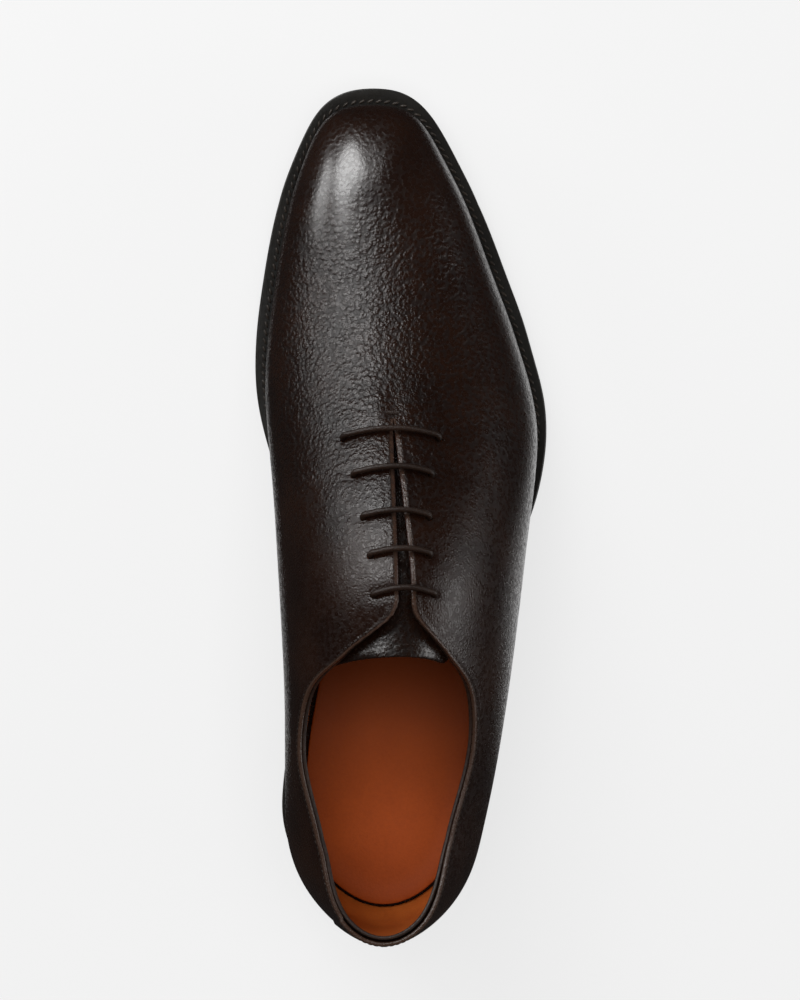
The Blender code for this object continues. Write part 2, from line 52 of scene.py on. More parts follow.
# %% [markdown]
# ## The last
# A shoemaker stretches the leather over a last, a wooden foot. Here the last is a table of
# sections: square ones across the shoe, and fans of them round the heel and the toe. A smooth
# spline runs through each column, so a few numbers that a person can read give the whole surface.
# It could also be sculpted, but then the left and right sides and the sole would not share one
# source. The numbers are those behind the solids, except where the leather's edge follows the
# photograph more closely: the opening narrows to a point before the laces, and the slit opens sooner.

# %% The last's tables
MM = 0.001
HEEL_CENTRE_Y = 36.0
HEEL_BREAST_Y = 69.0
SHOE_LENGTH = 306.0
SOLE_THICK = 5.0
WELT_THICK = 3.0
SOCK_THICK = 1.2
WALL = 2.6
GAP = 0.3
FLANGE = 7.0
SEAT_BACK_Z, SEAT_BREAST_Z, SEAT_SLOPE_OUT = 24.6, 21.0, -0.11
TREAD_START_Y, TREAD_END_Y = 190.0, 224.0
TOE_SPRING, TOE_SPRING_POWER = 9.6, 1.8
SECTION_STEP = 14.25
FIRST_SQUARE, LAST_SQUARE, TOE_SECTION = 4, 20, 25
LOOP = 2.0 * TOE_SECTION
HEEL_FAN_Y = 37.0
TOE_FAN_Y = HEEL_FAN_Y + SECTION_STEP * (LAST_SQUARE - FIRST_SQUARE)
TOE_CREST_SLOPE = 0.16
WELT_BASE = SOLE_THICK + GAP
FEATHER = WELT_BASE + WELT_THICK + GAP

# spine_x: the ridge line. crest: its height. Then for the outer and the inner side: x and y of the
# fullest line, tuck: how far the feather edge lies inside it, reach: how far the sole stands out.
LAST_COLUMNS = ("spine_x", "crest", "out_x", "out_y", "out_tuck", "out_reach",
                "in_x", "in_y", "in_tuck", "in_reach")
LAST = (
    (0.0, 125.0, 0.0, -1.0, 4.0, 2.7, 0.0, -1.0, 4.0, 2.7),
    (0.0, 120.5, 13.8, 2.6, 4.0, 2.6, -13.8, 2.6, 4.0, 3.1),
    (0.0, 112.5, 24.8, 11.3, 4.0, 2.4, -24.9, 11.5, 3.8, 3.9),
    (0.0, 107.0, 32.0, 23.4, 4.0, 2.3, -32.0, 23.3, 3.4, 4.8),
    (0.0, 104.0, 35.9, 37.0, 4.2, 2.2, -35.2, 37.0, 3.2, 5.5),
    (0.6, 102.0, 39.0, 51.25, 5.4, 1.9, -35.6, 51.25, 3.8, 5.3),
    (1.4, 101.0, 41.7, 65.5, 6.8, 1.7, -35.6, 65.5, 5.0, 4.5),
    (2.6, 101.0, 44.1, 79.75, 7.9, 1.6, -35.7, 79.75, 7.4, 3.3),
    (4.2, 102.3, 46.3, 94.0, 8.5, 1.8, -36.2, 94.0, 10.4, 2.5),
    (6.0, 104.3, 48.3, 108.25, 8.6, 2.7, -37.0, 108.25, 12.4, 2.2),
    (7.2, 104.4, 50.2, 122.5, 8.3, 4.3, -37.9, 122.5, 12.8, 2.6),
    (6.8, 99.9, 52.1, 136.75, 7.0, 6.0, -38.9, 136.75, 11.8, 3.7),
    (5.8, 92.8, 54.2, 151.0, 5.0, 7.3, -40.0, 151.0, 9.3, 4.8),
    (4.7, 84.5, 56.1, 165.25, 3.2, 7.2, -41.4, 165.25, 6.0, 5.5),
    (3.6, 76.0, 56.8, 179.5, 2.0, 6.7, -42.9, 179.5, 3.2, 5.6),
    (2.6, 68.2, 54.9, 193.75, 1.4, 6.7, -43.9, 193.75, 1.8, 5.9),
    (1.5, 61.6, 50.9, 208.0, 1.2, 6.8, -43.5, 208.0, 1.3, 6.3),
    (0.2, 56.3, 46.2, 222.25, 1.0, 7.1, -42.0, 222.25, 1.1, 6.6),
    (-1.2, 52.2, 40.8, 236.5, 1.0, 7.2, -39.9, 236.5, 1.0, 6.6),
    (-2.5, 49.1, 35.5, 250.75, 1.0, 7.1, -37.5, 250.75, 1.0, 6.5),
    (-3.5, 46.6, 29.8, 265.0, 1.0, 6.7, -34.4, 265.0, 1.0, 6.2),
    (-3.5, 46.6, 24.5, 275.6, 1.1, 6.4, -30.9, 276.0, 1.1, 5.9),
    (-3.5, 46.6, 19.2, 285.4, 1.2, 6.6, -26.8, 286.2, 1.2, 5.9),
    (-3.5, 46.6, 13.2, 294.0, 1.3, 7.3, -21.2, 294.7, 1.3, 6.9),
    (-3.5, 46.6, 5.4, 298.6, 1.4, 8.6, -13.1, 298.8, 1.4, 8.5),
    (-3.7, 46.6, -3.7, 299.6, 1.5, 9.2, -3.7, 299.6, 1.5, 9.2),
)
# bulge: height of the fullest line. wall: how upright the side stays. crown: how flat the top is.
FORM_COLUMNS = ("section", "out_bulge", "out_wall", "out_crown", "in_bulge", "in_wall", "in_crown")
FORM = (
    (0, 55.0, 0.76, 0.60, 55.0, 0.76, 0.60),
    (2, 54.0, 0.50, 0.42, 54.0, 0.50, 0.42),
    (4, 53.0, 0.34, 0.33, 53.5, 0.36, 0.36),
    (6, 51.0, 0.45, 0.41, 52.0, 0.62, 0.64),
    (8, 46.5, 0.46, 0.44, 49.0, 0.58, 0.60),
    (10, 40.0, 0.46, 0.46, 45.0, 0.50, 0.52),
    (12, 31.0, 0.47, 0.48, 36.0, 0.50, 0.50),
    (14, 22.5, 0.50, 0.50, 25.0, 0.52, 0.51),
    (16, 19.5, 0.53, 0.53, 20.5, 0.55, 0.53),
    (18, 18.8, 0.56, 0.57, 19.3, 0.57, 0.57),
    (20, 20.0, 0.61, 0.62, 20.3, 0.61, 0.62),
    (22.5, 23.0, 0.64, 0.64, 23.0, 0.64, 0.64),
    (25, 25.5, 0.62, 0.60, 25.5, 0.62, 0.60),
)
TOPLINE_COLUMNS = ("section", "out_top", "in_top")
TOPLINE = (
    (0, 94.0, 94.0), (1, 92.8, 92.8), (2, 89.8, 90.0), (3, 86.6, 87.2), (4, 83.9, 85.2),
    (5, 81.8, 83.6), (6, 80.8, 82.8), (7, 82.4, 84.0), (8, 88.6, 89.8), (8.5, 94.8, 96.8),
    (9, 100.0, 101.7), (10.5, 112.0, 112.0),
)
VAMP_POINT_Y, FACING_TOP_Y = 184.0, 124.0
SLIT_TOP_GAP, SLIT_POWER = 3.8, 0.75
THROAT_LEAN, THROAT_REACH = 0.16, 95.0
# Each bar: y of its eyelets, their distances from the slit line, and how far its middle lies forward.
LACING = (
    (177.2, 15.6, 18.2, 2.6),
    (164.4, 11.9, 15.3, 2.2),
    (150.0, 9.7, 13.0, 1.8),
    (137.2, 9.0, 11.5, 1.8),
    (124.0, 10.0, 10.8, 2.2),
)

# %% Splines through the tables
def hermite(u, knots, values, slope):
    """Cubic pieces with these values and slopes at the knots."""
    i = np.clip(np.searchsorted(knots, u, side="right") - 1, 0, len(knots) - 2)
    step = knots[i + 1] - knots[i]
    s = (u - knots[i]) / step
    return (values[i] * (1 + 2 * s) * (1 - s) ** 2 + slope[i] * step * s * (1 - s) ** 2
            + values[i + 1] * s * s * (3 - 2 * s) + slope[i + 1] * step * s * s * (s - 1))


def spline(knots, values, slopes=(0.0, 0.0)):
    """A smooth curve through the values, with the given slope at each end."""
    knots, values = np.array(list(knots), float), np.array(values, float)
    count, step = len(knots), np.diff(knots)
    rise = np.diff(values) / step
    system, target = np.zeros((count, count)), np.zeros(count)
    system[0, 0], target[0] = 1.0, slopes[0]
    system[-1, -1], target[-1] = 1.0, slopes[1]
    for i in range(1, count - 1):
        system[i, i - 1 : i + 2] = step[i], 2 * (step[i - 1] + step[i]), step[i - 1]
        target[i] = 3 * (step[i] * rise[i - 1] + step[i - 1] * rise[i])
    slope = np.linalg.solve(system, target)
    return lambda u: hermite(np.asarray(u, float), knots, values, slope)


def closed_spline(values):
    """A smooth closed curve through evenly numbered values."""
    values = np.array(values, float)
    count = len(values)
    system = 4 * np.eye(count) + np.roll(np.eye(count), 1, 0) + np.roll(np.eye(count), -1, 0)
    slope = np.linalg.solve(system, 3 * (np.roll(values, -1) - np.roll(values, 1)))
    knots = np.arange(count + 1.0)
    ring, ring_slope = np.append(values, values[0]), np.append(slope, slope[0])
    return lambda t: hermite(np.asarray(t, float) % count, knots, ring, ring_slope)


def column(table, names, name):
    return [row[names.index(name)] for row in table]


def round_both_sides(name):
    outer, inner = (column(LAST, LAST_COLUMNS, side + name) for side in ("out_", "in_"))
    return closed_spline(outer + inner[-2:0:-1])


EDGE = {name: round_both_sides(name) for name in ("x", "y", "tuck", "reach")}
SPINE_X = spline(range(FIRST_SQUARE, LAST_SQUARE + 1),
                 column(LAST, LAST_COLUMNS, "spine_x")[FIRST_SQUARE : LAST_SQUARE + 1])
CREST = spline(range(LAST_SQUARE + 1), column(LAST, LAST_COLUMNS, "crest")[: LAST_SQUARE + 1],
               (0.0, -TOE_CREST_SLOPE * SECTION_STEP))
FORMS = {name: spline(column(FORM, FORM_COLUMNS, "section"), column(FORM, FORM_COLUMNS, name))
         for name in FORM_COLUMNS[1:]}
TOPS = {name: spline(column(TOPLINE, TOPLINE_COLUMNS, "section"),
                     column(TOPLINE, TOPLINE_COLUMNS, name), (0.0, 8.0))
        for name in TOPLINE_COLUMNS[1:]}
print("splines:", len(EDGE) + len(FORMS) + len(TOPS) + 2)


def section_at(y):
    return FIRST_SQUARE + (y - HEEL_FAN_Y) / SECTION_STEP


VAMP_SECTION = section_at(VAMP_POINT_Y)
COLLAR_SECTION = 10.4
CORNER_ROUND, CORNER_WEIGHTS = 0.5, (1, 2, 3, 4, 3, 2, 1)
CORNER_STARTS, CORNER_ENDS = (8.3, 8.9), (9.9, 10.6)


def smooth_step(x, low, high):
    s = np.clip((x - low) / (high - low), 0, 1)
    return s * s * (3 - 2 * s)


def sole_underside(y):
    """Height of the tread side above the floor: heel seat, waist, flat tread and toe spring."""
    y = np.asarray(y, float)
    seat = SEAT_BACK_Z + (SEAT_BREAST_Z - SEAT_BACK_Z) * np.clip(y / HEEL_BREAST_Y, 0, 1)
    run = TREAD_START_Y - HEEL_BREAST_Y
    s = np.clip((y - HEEL_BREAST_Y) / run, 0, 1)
    waist = SEAT_BREAST_Z * (1 + 2 * s) * (1 - s) ** 2 + SEAT_SLOPE_OUT * run * s * (1 - s) ** 2
    toe = np.clip((y - TREAD_END_Y) / (SHOE_LENGTH - TREAD_END_Y), 0, None)
    spring = TOE_SPRING * toe ** TOE_SPRING_POWER
    return np.where(y <= HEEL_BREAST_Y, seat, np.where(y <= TREAD_START_Y, waist, spring))


# %% The last's surface
def last_at(t):
    """Everything about the sections at t: 0 at the heel's back, 25 at the toe, 50 at the heel again."""
    t = np.asarray(t, float) % LOOP
    outer = t <= TOE_SECTION
    u = np.where(outer, t, LOOP - t)
    square = np.clip(u, FIRST_SQUARE, LAST_SQUARE)
    spine = np.stack([SPINE_X(square), HEEL_FAN_Y + SECTION_STEP * (square - FIRST_SQUARE)], -1)
    edge = np.stack([EDGE["x"](t), EDGE["y"](t)], -1)
    width = np.linalg.norm(edge - spine, axis=-1)
    away = (edge - spine) / width[..., None]
    feather = edge - EDGE["tuck"](t)[..., None] * away
    near = np.clip(1 - abs(spine[..., 1] - 0.5 * (VAMP_POINT_Y + FACING_TOP_Y)) / THROAT_REACH, 0, 1)
    form = {name: np.where(outer, FORMS["out_" + name](u), FORMS["in_" + name](u))
            for name in ("bulge", "wall", "crown")}
    return SimpleNamespace(
        t=t, u=u, outer=outer, spine=spine, edge=edge, width=width, away=away, feather=feather,
        tuck=EDGE["tuck"](t), reach=EDGE["reach"](t), crest=CREST(np.minimum(u, LAST_SQUARE)),
        feather_z=sole_underside(feather[..., 1]) + FEATHER,
        lean=THROAT_LEAN * near * near * (3 - 2 * near) * np.where(outer, -1, 1), **form)


def share(section, q):
    return (1 - q) ** 3 + 3 * (1 - q) ** 2 * q + 3 * (1 - q) * q * q * section.crown


def surface(t, q):
    """The outside of the upper: q is -1 at the feather edge, 0 at the fullest line, 1 at the ridge."""
    s = last_at(t)
    q = np.asarray(q, float)
    below = np.minimum(q, 0.0)
    above = np.maximum(q, 0.0)
    r = share(s, above)
    low = s.edge - (s.tuck * below * below)[..., None] * s.away
    high = s.spine + (r * s.width)[..., None] * s.away
    plan = np.where((q < 0)[..., None], low, high)
    rise = 3 * (1 - above) ** 2 * above * s.wall + 3 * (1 - above) * above ** 2 + above ** 3
    crest = s.crest - TOE_CREST_SLOPE * np.maximum(0.0, plan[..., 1] - TOE_FAN_Y)
    z = s.bulge + (crest - s.bulge) * rise + s.lean * r * s.width * (1 - r) ** 2
    z = np.where(q < 0, s.bulge + (s.bulge - s.feather_z) * q, z)
    return np.concatenate([plan, z[..., None]], -1)


def unit(v):
    return v / np.maximum(np.linalg.norm(v, axis=-1, keepdims=True), 1e-9)


NORMAL_STEP = 0.004


def slope_cross(t, q):
    along = surface(t + NORMAL_STEP, q) - surface(t - NORMAL_STEP, q)
    up = surface(t, q + NORMAL_STEP) - surface(t, q - NORMAL_STEP)
    return np.cross(along, up)


def normal(t, q):
    """The outward unit normal of the upper's outside. On the shut ridge both sides share theirs."""
    t, q = np.broadcast_arrays(np.asarray(t, float), np.asarray(q, float))
    n = unit(slope_cross(t, q))
    u = last_at(t).u
    pole = (q > 1 - NORMAL_STEP) & (u >= LAST_SQUARE)
    flat = unit(np.array([0.0, TOE_CREST_SLOPE, 1.0]))
    n = np.where(pole[..., None], flat, n)
    ridge = (q > 1 - 1e-6) & (u >= VAMP_SECTION) & ~pole
    if ridge.any():
        n = np.where(ridge[..., None], unit(n + unit(slope_cross(LOOP - t, q))), n)
    return n


HALVINGS = 34


def solve(measure, target, rising):
    """The q from 0 to 1 where measure(q) meets the target, for every section at once."""
    low, high = np.zeros_like(target), np.ones_like(target)
    for _ in range(HALVINGS):
        middle = 0.5 * (low + high)
        below = (measure(middle) < target) == rising
        low, high = np.where(below, middle, low), np.where(below, high, middle)
    return 0.5 * (low + high)


def q_at_distance(t, distance):
    s = last_at(t)
    distance = np.broadcast_to(np.asarray(distance, float), s.width.shape).copy()
    return solve(lambda q: share(s, q) * s.width, distance, False)


def sharp_top_q(t):
    """Where the upper ends: at the topline or, nearer the ridge, along the slit."""
    s = last_at(t)
    opened = np.clip((VAMP_POINT_Y - s.spine[..., 1]) / (VAMP_POINT_Y - FACING_TOP_Y), 0, 1)
    slit = q_at_distance(s.t, 0.5 * SLIT_TOP_GAP * opened ** SLIT_POWER)
    wanted = np.where(s.outer, TOPS["out_top"](s.u), TOPS["in_top"](s.u))
    collar = solve(lambda q: surface(s.t, q)[..., 2], wanted, True)
    return np.where(s.u > COLLAR_SECTION, slit, np.minimum(slit, collar))


def top_q(t):
    """The same edge with the corner between topline and slit rounded, and shut on the vamp."""
    t = np.asarray(t, float)
    u = last_at(t).u
    reach = CORNER_ROUND * smooth_step(u, *CORNER_STARTS) * (1 - smooth_step(u, *CORNER_ENDS))
    shifts = zip(CORNER_WEIGHTS, np.linspace(-1, 1, len(CORNER_WEIGHTS)))
    top = sum(weight * sharp_top_q(t + reach * shift) for weight, shift in shifts)
    return np.where(u >= VAMP_SECTION, 1.0, top / sum(CORNER_WEIGHTS))


print("toe crest height:", round(float(surface(20.0, 1.0)[2]), 1), "mm")

# %% [markdown]
# ## Helpers for meshes
# Every piece is a set of ribs, rows of points that follow the shoe's sections. Neighbouring ribs
# are joined by quads, doubled points are merged, and the faces are pointed outwards. The place of
# each piece is in its mesh, so every object stays at the origin.

# %% Ribs into meshes
def metres(points):
    return (np.asarray(points, float) - (0.0, HEEL_CENTRE_Y, 0.0)) * MM


def quads(columns, rows, offset=0, closed=False, skip=None):
    """Faces of a grid stored rib after rib. A closed grid also joins the last rib to the first."""
    faces = []
    for i in range(columns if closed else columns - 1):
        j = (i + 1) % columns
        if skip is not None and skip(i, j):
            continue
        for k in range(rows - 1):
            a, b = offset + i * rows + k, offset + j * rows + k
            faces.append((a, b, b + 1, a + 1))
    return faces


def new_object(name, data):
    piece = bpy.data.objects.new(name, data)
    bpy.context.collection.objects.link(piece)
    return piece


def make_piece(name, points, faces, attributes=None, weld=2e-6, sharp_angle=None):
    """A mesh object from points in millimetres, with doubled points merged and faces outward."""
    mesh = bpy.data.meshes.new(name)
    mesh.from_pydata(metres(points).tolist(), [], faces)
    for key, values in (attributes or {}).items():
        layer = mesh.attributes.new(key, "FLOAT", "POINT")
        layer.data.foreach_set("value", np.asarray(values, np.float32))
    bm = bmesh.new()
    bm.from_mesh(mesh)
    bmesh.ops.remove_doubles(bm, verts=bm.verts, dist=weld)
    bmesh.ops.dissolve_degenerate(bm, edges=bm.edges, dist=weld / 2)
    loose = [v for v in bm.verts if not v.link_faces]
    bmesh.ops.delete(bm, geom=loose, context="VERTS")
    bmesh.ops.recalc_face_normals(bm, faces=bm.faces)
    bm.to_mesh(mesh)
    bm.free()
    mesh.shade_smooth()
    if sharp_angle:
        mesh.set_sharp_from_angle(angle=math.radians(sharp_angle))
    return new_object(name, mesh)


def around(step, extra=()):
    """Values of t once round the shoe: even steps on both sides, plus extra sections on both."""
    even = np.round(np.arange(0, TOE_SECTION + step / 2, step), 5)
    half = sorted(set(even) | {round(u, 5) for u in extra})
    half = [u for u in half if u <= TOE_SECTION]
    return np.array(half + [LOOP - u for u in half[-2:0:-1]])


def half_round(a, b, out, bulge, turns):
    """Points from a over to b on a rounded rim that stands out by this share of its width."""
    across = (b - a)[:, None] * (0.5 * (1 - np.cos(turns)))[None, :, None]
    height = (bulge * np.linalg.norm(b - a, axis=1))[:, None, None]
    return a[:, None] + across + out[:, None] * height * np.sin(turns)[None, :, None]


def plain_mesh(piece):
    """Keeps the mesh that the piece's modifiers make, and drops them."""
    graph = bpy.context.evaluated_depsgraph_get()
    done = bpy.data.meshes.new_from_object(piece.evaluated_get(graph))
    piece.modifiers.clear()
    piece.data = done
    return done


def finish_piece(piece, material, slot, *nodes):
    """Gives a piece its material and its body, and hides the solids it stands for. The slot argument is not
    used.
    """
    if not piece.data.materials:
        piece.data.materials.append(material)
    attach(piece, "root")
    if nodes:
        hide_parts(*nodes)
    count = sum(len(p.vertices) - 2 for p in piece.data.polygons)
    print(f"{piece.name}: {count} triangles")


# %% [markdown]
# ## Finishes
# Leather is told by its grain, its gloss and its small changes of colour. The grain and the
# mottling are node groups, because the upper, the tongue, the lining and the sock all use them,
# each with its own sizes. They only give out heights and masks: the shader stays in the material.

# %% Node helpers
def plug(tree, value, socket):
    """Links another node's socket to this one, or sets this one to a plain value."""
    if isinstance(value, bpy.types.NodeSocket):
        tree.links.new(value, socket)
    else:
        socket.default_value = value


def add_node(tree, kind, inputs, **settings):
    """A new node with its settings, and with its inputs plugged by name or by number."""
    node = tree.nodes.new(kind)
    for title, value in settings.items():
        setattr(node, title, value)
    for title, value in inputs.items():
        plug(tree, value, node.inputs[title])
    return node


def add_interface(tree, direction, kind, titles):
    for title in titles:
        tree.interface.new_socket(title, in_out=direction, socket_type="NodeSocket" + kind)


def new_tree(name, kind, sizes):
    """A node group with number inputs, and its two end nodes."""
    tree = bpy.data.node_groups.new(name, kind)
    if kind == "GeometryNodeTree":
        add_interface(tree, "INPUT", "Geometry", ["Geometry"])
    add_interface(tree, "INPUT", "Float", sizes)
    for item in tree.interface.items_tree:
        if item.name in sizes:
            item.default_value = sizes[item.name]
    return tree, tree.nodes.new("NodeGroupInput").outputs, tree.nodes.new("NodeGroupOutput").inputs


def math_node(tree, operation, a, b, clamp=False):
    return add_node(tree, "ShaderNodeMath", {0: a, 1: b}, operation=operation, use_clamp=clamp).outputs[0]


def times(tree, a, b):
    return math_node(tree, "MULTIPLY", a, b)


def map_node(tree, value, low, high, to_low=0.0, to_high=1.0, smooth=True):
    ranges = {"Value": value, "From Min": low, "From Max": high, "To Min": to_low, "To Max": to_high}
    kind = "SMOOTHSTEP" if smooth else "LINEAR"
    return add_node(tree, "ShaderNodeMapRange", ranges, interpolation_type=kind).outputs["Result"]


def noise_node(tree, vector, scale, detail=2.0, roughness=0.5):
    inputs = {"Vector": vector, "Scale": scale, "Detail": detail, "Roughness": roughness}
    return add_node(tree, "ShaderNodeTexNoise", inputs).outputs


def vector_node(tree, operation, *inputs):
    node = add_node(tree, "ShaderNodeVectorMath", dict(enumerate(inputs)), operation=operation)
    return node.outputs[0]


def object_coordinates(tree):
    return tree.nodes.new("ShaderNodeTexCoord").outputs["Object"]


def place_along(tree, axis):
    return add_node(tree, "ShaderNodeSeparateXYZ", {0: object_coordinates(tree)}).outputs[axis]


def stored(tree, name):
    """A number stored on the mesh, such as the distance from the edge in millimetres."""
    return add_node(tree, "ShaderNodeAttribute", {}, attribute_name=name).outputs["Fac"]


def mix_colour(tree, factor, *colours):
    a, b = ((*colour, 1.0) if isinstance(colour, tuple) else colour for colour in colours)
    return add_node(tree, "ShaderNodeMix", {"Factor": factor, 6: a, 7: b}, data_type="RGBA").outputs[2]


# %% The grain and the mottling
CELL_SPREAD, SMALL_CELLS = 1.25, 2.3
GRAIN_WANDER, WANDER_SCALE, SWELL_SCALE, LOWEST_SWELL = 0.0006, 330.0, 170.0, 0.55
NOISE_SPAN = (0.3, 0.7)
CREASE_FROM, CREASE_TO = 0.35, 0.72
FINE_MOTTLE_SCALE = 700.0


def domes(tree, vector, scale):
    """Rounded pebbles that meet in creases: high in the middle of each cell, low where cells meet."""
    cells = add_node(tree, "ShaderNodeTexVoronoi", {"Vector": vector, "Scale": scale}, feature="F1")
    far = times(tree, cells.outputs["Distance"], CELL_SPREAD)
    return math_node(tree, "SUBTRACT", 1.0, times(tree, far, far), clamp=True)


def build_grain_group():
    """Pebbled grain in two sizes, pulled long where the leather is stretched over the last."""
    sizes = {"Cells": 560.0, "Stretch": 1.0, "Small": 0.35}
    tree, given, out = new_tree("leather_grain", "ShaderNodeTree", sizes)
    add_interface(tree, "OUTPUT", "Float", ("Height", "Fine", "Crease"))
    stretch = add_node(tree, "ShaderNodeCombineXYZ", {"X": 1.0, "Y": given["Stretch"], "Z": 1.0})
    place = vector_node(tree, "MULTIPLY", object_coordinates(tree), stretch.outputs[0])
    wander = noise_node(tree, place, WANDER_SCALE)["Color"]
    shifted = vector_node(tree, "MULTIPLY_ADD", wander, (GRAIN_WANDER,) * 3, place)
    big = domes(tree, shifted, given["Cells"])
    small = domes(tree, shifted, times(tree, given["Cells"], SMALL_CELLS))
    swell = map_node(tree, noise_node(tree, place, SWELL_SCALE)["Fac"], *NOISE_SPAN, LOWEST_SWELL, 1.0)
    body = math_node(tree, "ADD", times(tree, big, swell), times(tree, small, given["Small"]))
    plug(tree, body, out["Height"])
    plug(tree, small, out["Fine"])
    plug(tree, map_node(tree, big, CREASE_FROM, CREASE_TO, 1.0, 0.0), out["Crease"])
    return tree


def build_mottle_group():
    """Slow and fine changes of tone, as hand dyeing and polishing leave them."""
    tree, given, out = new_tree("hand_dyed_mottle", "ShaderNodeTree", {"Size": 45.0})
    add_interface(tree, "OUTPUT", "Float", ("Slow", "Fine"))
    place = object_coordinates(tree)
    plug(tree, noise_node(tree, place, given["Size"], 3.0)["Fac"], out["Slow"])
    plug(tree, noise_node(tree, place, FINE_MOTTLE_SCALE, 4.0, 0.6)["Fac"], out["Fine"])
    return tree


GRAIN = build_grain_group()
MOTTLE = build_mottle_group()
print("node groups:", GRAIN.name, MOTTLE.name)

# %% [markdown]
# ## Leathers
# One function makes every leather, and it darkens the grain's creases with painted shade. The whole cut
# differs from the rest: its toe is polished, so the grain is calmer and the gloss stronger there, its rear
# has a fine close grain, its cut edge has its own tone, and its colour is lighter near the edge, a painted
# highlight on the rolled edge, by the distance from the edge, which the mesh carries as a number.

# %% A leather, from the two groups
# A lighter brown near the whole cut's edges, a painted highlight on the rolled edge, and the tone of the
# cut edge itself.
EDGE_HIGHLIGHT_COLOUR = (0.030, 0.0155, 0.0100)
CUT_COLOUR = (0.024, 0.009, 0.006)
SLOW_SHARE, MOTTLE_FROM, MOTTLE_TO = 0.75, 0.32, 0.68
# The last two are shares of the dark tone: painted shade in the grain's creases, and painted shade over the
# sock's front.
WORN_ROUGHNESS, CREASE_ROUGHNESS, PAINTED_CREASE_SHADE, PAINTED_SHADE_DARK = 0.015, 0.25, 0.4, 0.3
COAT_ROUGHNESS, POLISH_ROUGHNESS, POLISHED_COAT = 0.2, 0.07, 0.9
# Where the whole cut's finish changes, in metres: polish towards the toe and up it, pebbles in
# front of the rear's close grain, and calmer pebbles towards the outer side.
POLISH_Y, POLISH_Z, PEBBLED_Y, SMOOTHER_X = (0.206, 0.238), (0.028, 0.041), (0.075, 0.150), (0.010, 0.034)
CALM_GRAIN, OUTER_GRAIN, CLOSE_GRAIN = 0.46, 0.34, 0.34
# The painted edge highlight fades out between these distances from the edge, in mm.
HIGHLIGHT_FROM_MM, HIGHLIGHT_TO_MM = 0.5, 1.1


def leather(name, dark, light, roughness, cells, depth, stretch=1.0, coat=0.0, mottle_size=45.0,
            small=0.35, specular=0.5, sink=0.5, shade=None, whole_cut=False):
    """A procedural leather: dyed colour, painted shade in the grain's creases and, if asked, along Y, a
    painted highlight at the whole cut's edges, grain in the height, and gloss that the grain breaks up.
    """
    material = bpy.data.materials.new(name)
    material.use_nodes = True
    tree = material.node_tree
    sizes = {"Cells": cells, "Stretch": stretch, "Small": small}
    grain = add_node(tree, "ShaderNodeGroup", sizes, node_tree=GRAIN)
    mottle = add_node(tree, "ShaderNodeGroup", {"Size": mottle_size}, node_tree=MOTTLE)
    slow, fine = mottle.outputs["Slow"], mottle.outputs["Fine"]
    tone = math_node(tree, "ADD", times(tree, slow, SLOW_SHARE), times(tree, fine, 1 - SLOW_SHARE))
    colour = mix_colour(tree, map_node(tree, tone, MOTTLE_FROM, MOTTLE_TO), dark, light)
    sunk = times(tree, grain.outputs["Crease"], sink)
    worn = map_node(tree, fine, *NOISE_SPAN, roughness - WORN_ROUGHNESS, roughness + WORN_ROUGHNESS)
    rough = math_node(tree, "ADD", worn, times(tree, sunk, CREASE_ROUGHNESS))
    height = grain.outputs["Height"]
    if whole_cut:
        forward = map_node(tree, place_along(tree, "Y"), *POLISH_Y)
        polish = times(tree, forward, map_node(tree, place_along(tree, "Z"), *POLISH_Z))
        calm = map_node(tree, forward, 0.0, 1.0, 1.0, CALM_GRAIN, smooth=False)
        pebbled = map_node(tree, place_along(tree, "Y"), *PEBBLED_Y)
        smoother = map_node(tree, place_along(tree, "X"), *SMOOTHER_X, 1.0, OUTER_GRAIN)
        coarse = times(tree, times(tree, height, pebbled), smoother)
        close = times(tree, grain.outputs["Fine"], map_node(tree, pebbled, 0.0, 1.0, CLOSE_GRAIN, 0.0))
        height = times(tree, math_node(tree, "ADD", coarse, close), calm)
        sunk = times(tree, times(tree, sunk, pebbled), calm)
        rough = math_node(tree, "SUBTRACT", rough, times(tree, polish, POLISH_ROUGHNESS))
        # Painted highlight: the colour is lighter within about a millimetre of the edge, where the rolled
        # edge catches the light.
        rim = map_node(tree, stored(tree, "edge_mm"), HIGHLIGHT_FROM_MM, HIGHLIGHT_TO_MM, 1.0, 0.0)
        colour = mix_colour(tree, rim, colour, EDGE_HIGHLIGHT_COLOUR)
        colour = mix_colour(tree, stored(tree, "cut"), colour, CUT_COLOUR)
        coat = map_node(tree, polish, 0.0, 1.0, coat, POLISHED_COAT, smooth=False)
    # Painted shade: the colour darkens in the grain's creases.
    colour = mix_colour(tree, sunk, colour, tuple(PAINTED_CREASE_SHADE * c for c in dark))
    # Painted shade: with shade given, the colour darkens along Y towards the dark tone, standing in for the
    # shade the upper casts.
    if shade:
        painted_shade = map_node(tree, place_along(tree, "Y"), *shade)
        colour = mix_colour(tree, painted_shade, tuple(PAINTED_SHADE_DARK * c for c in dark), colour)
    bump = add_node(tree, "ShaderNodeBump", {"Distance": depth, "Height": height})
    finish = {"Base Color": colour, "Roughness": rough, "Coat Weight": coat,
              "Coat Roughness": COAT_ROUGHNESS, "Specular IOR Level": specular,
              "Normal": bump.outputs["Normal"]}
    for title, value in finish.items():
        plug(tree, value, tree.nodes["Principled BSDF"].inputs[title])
    return material


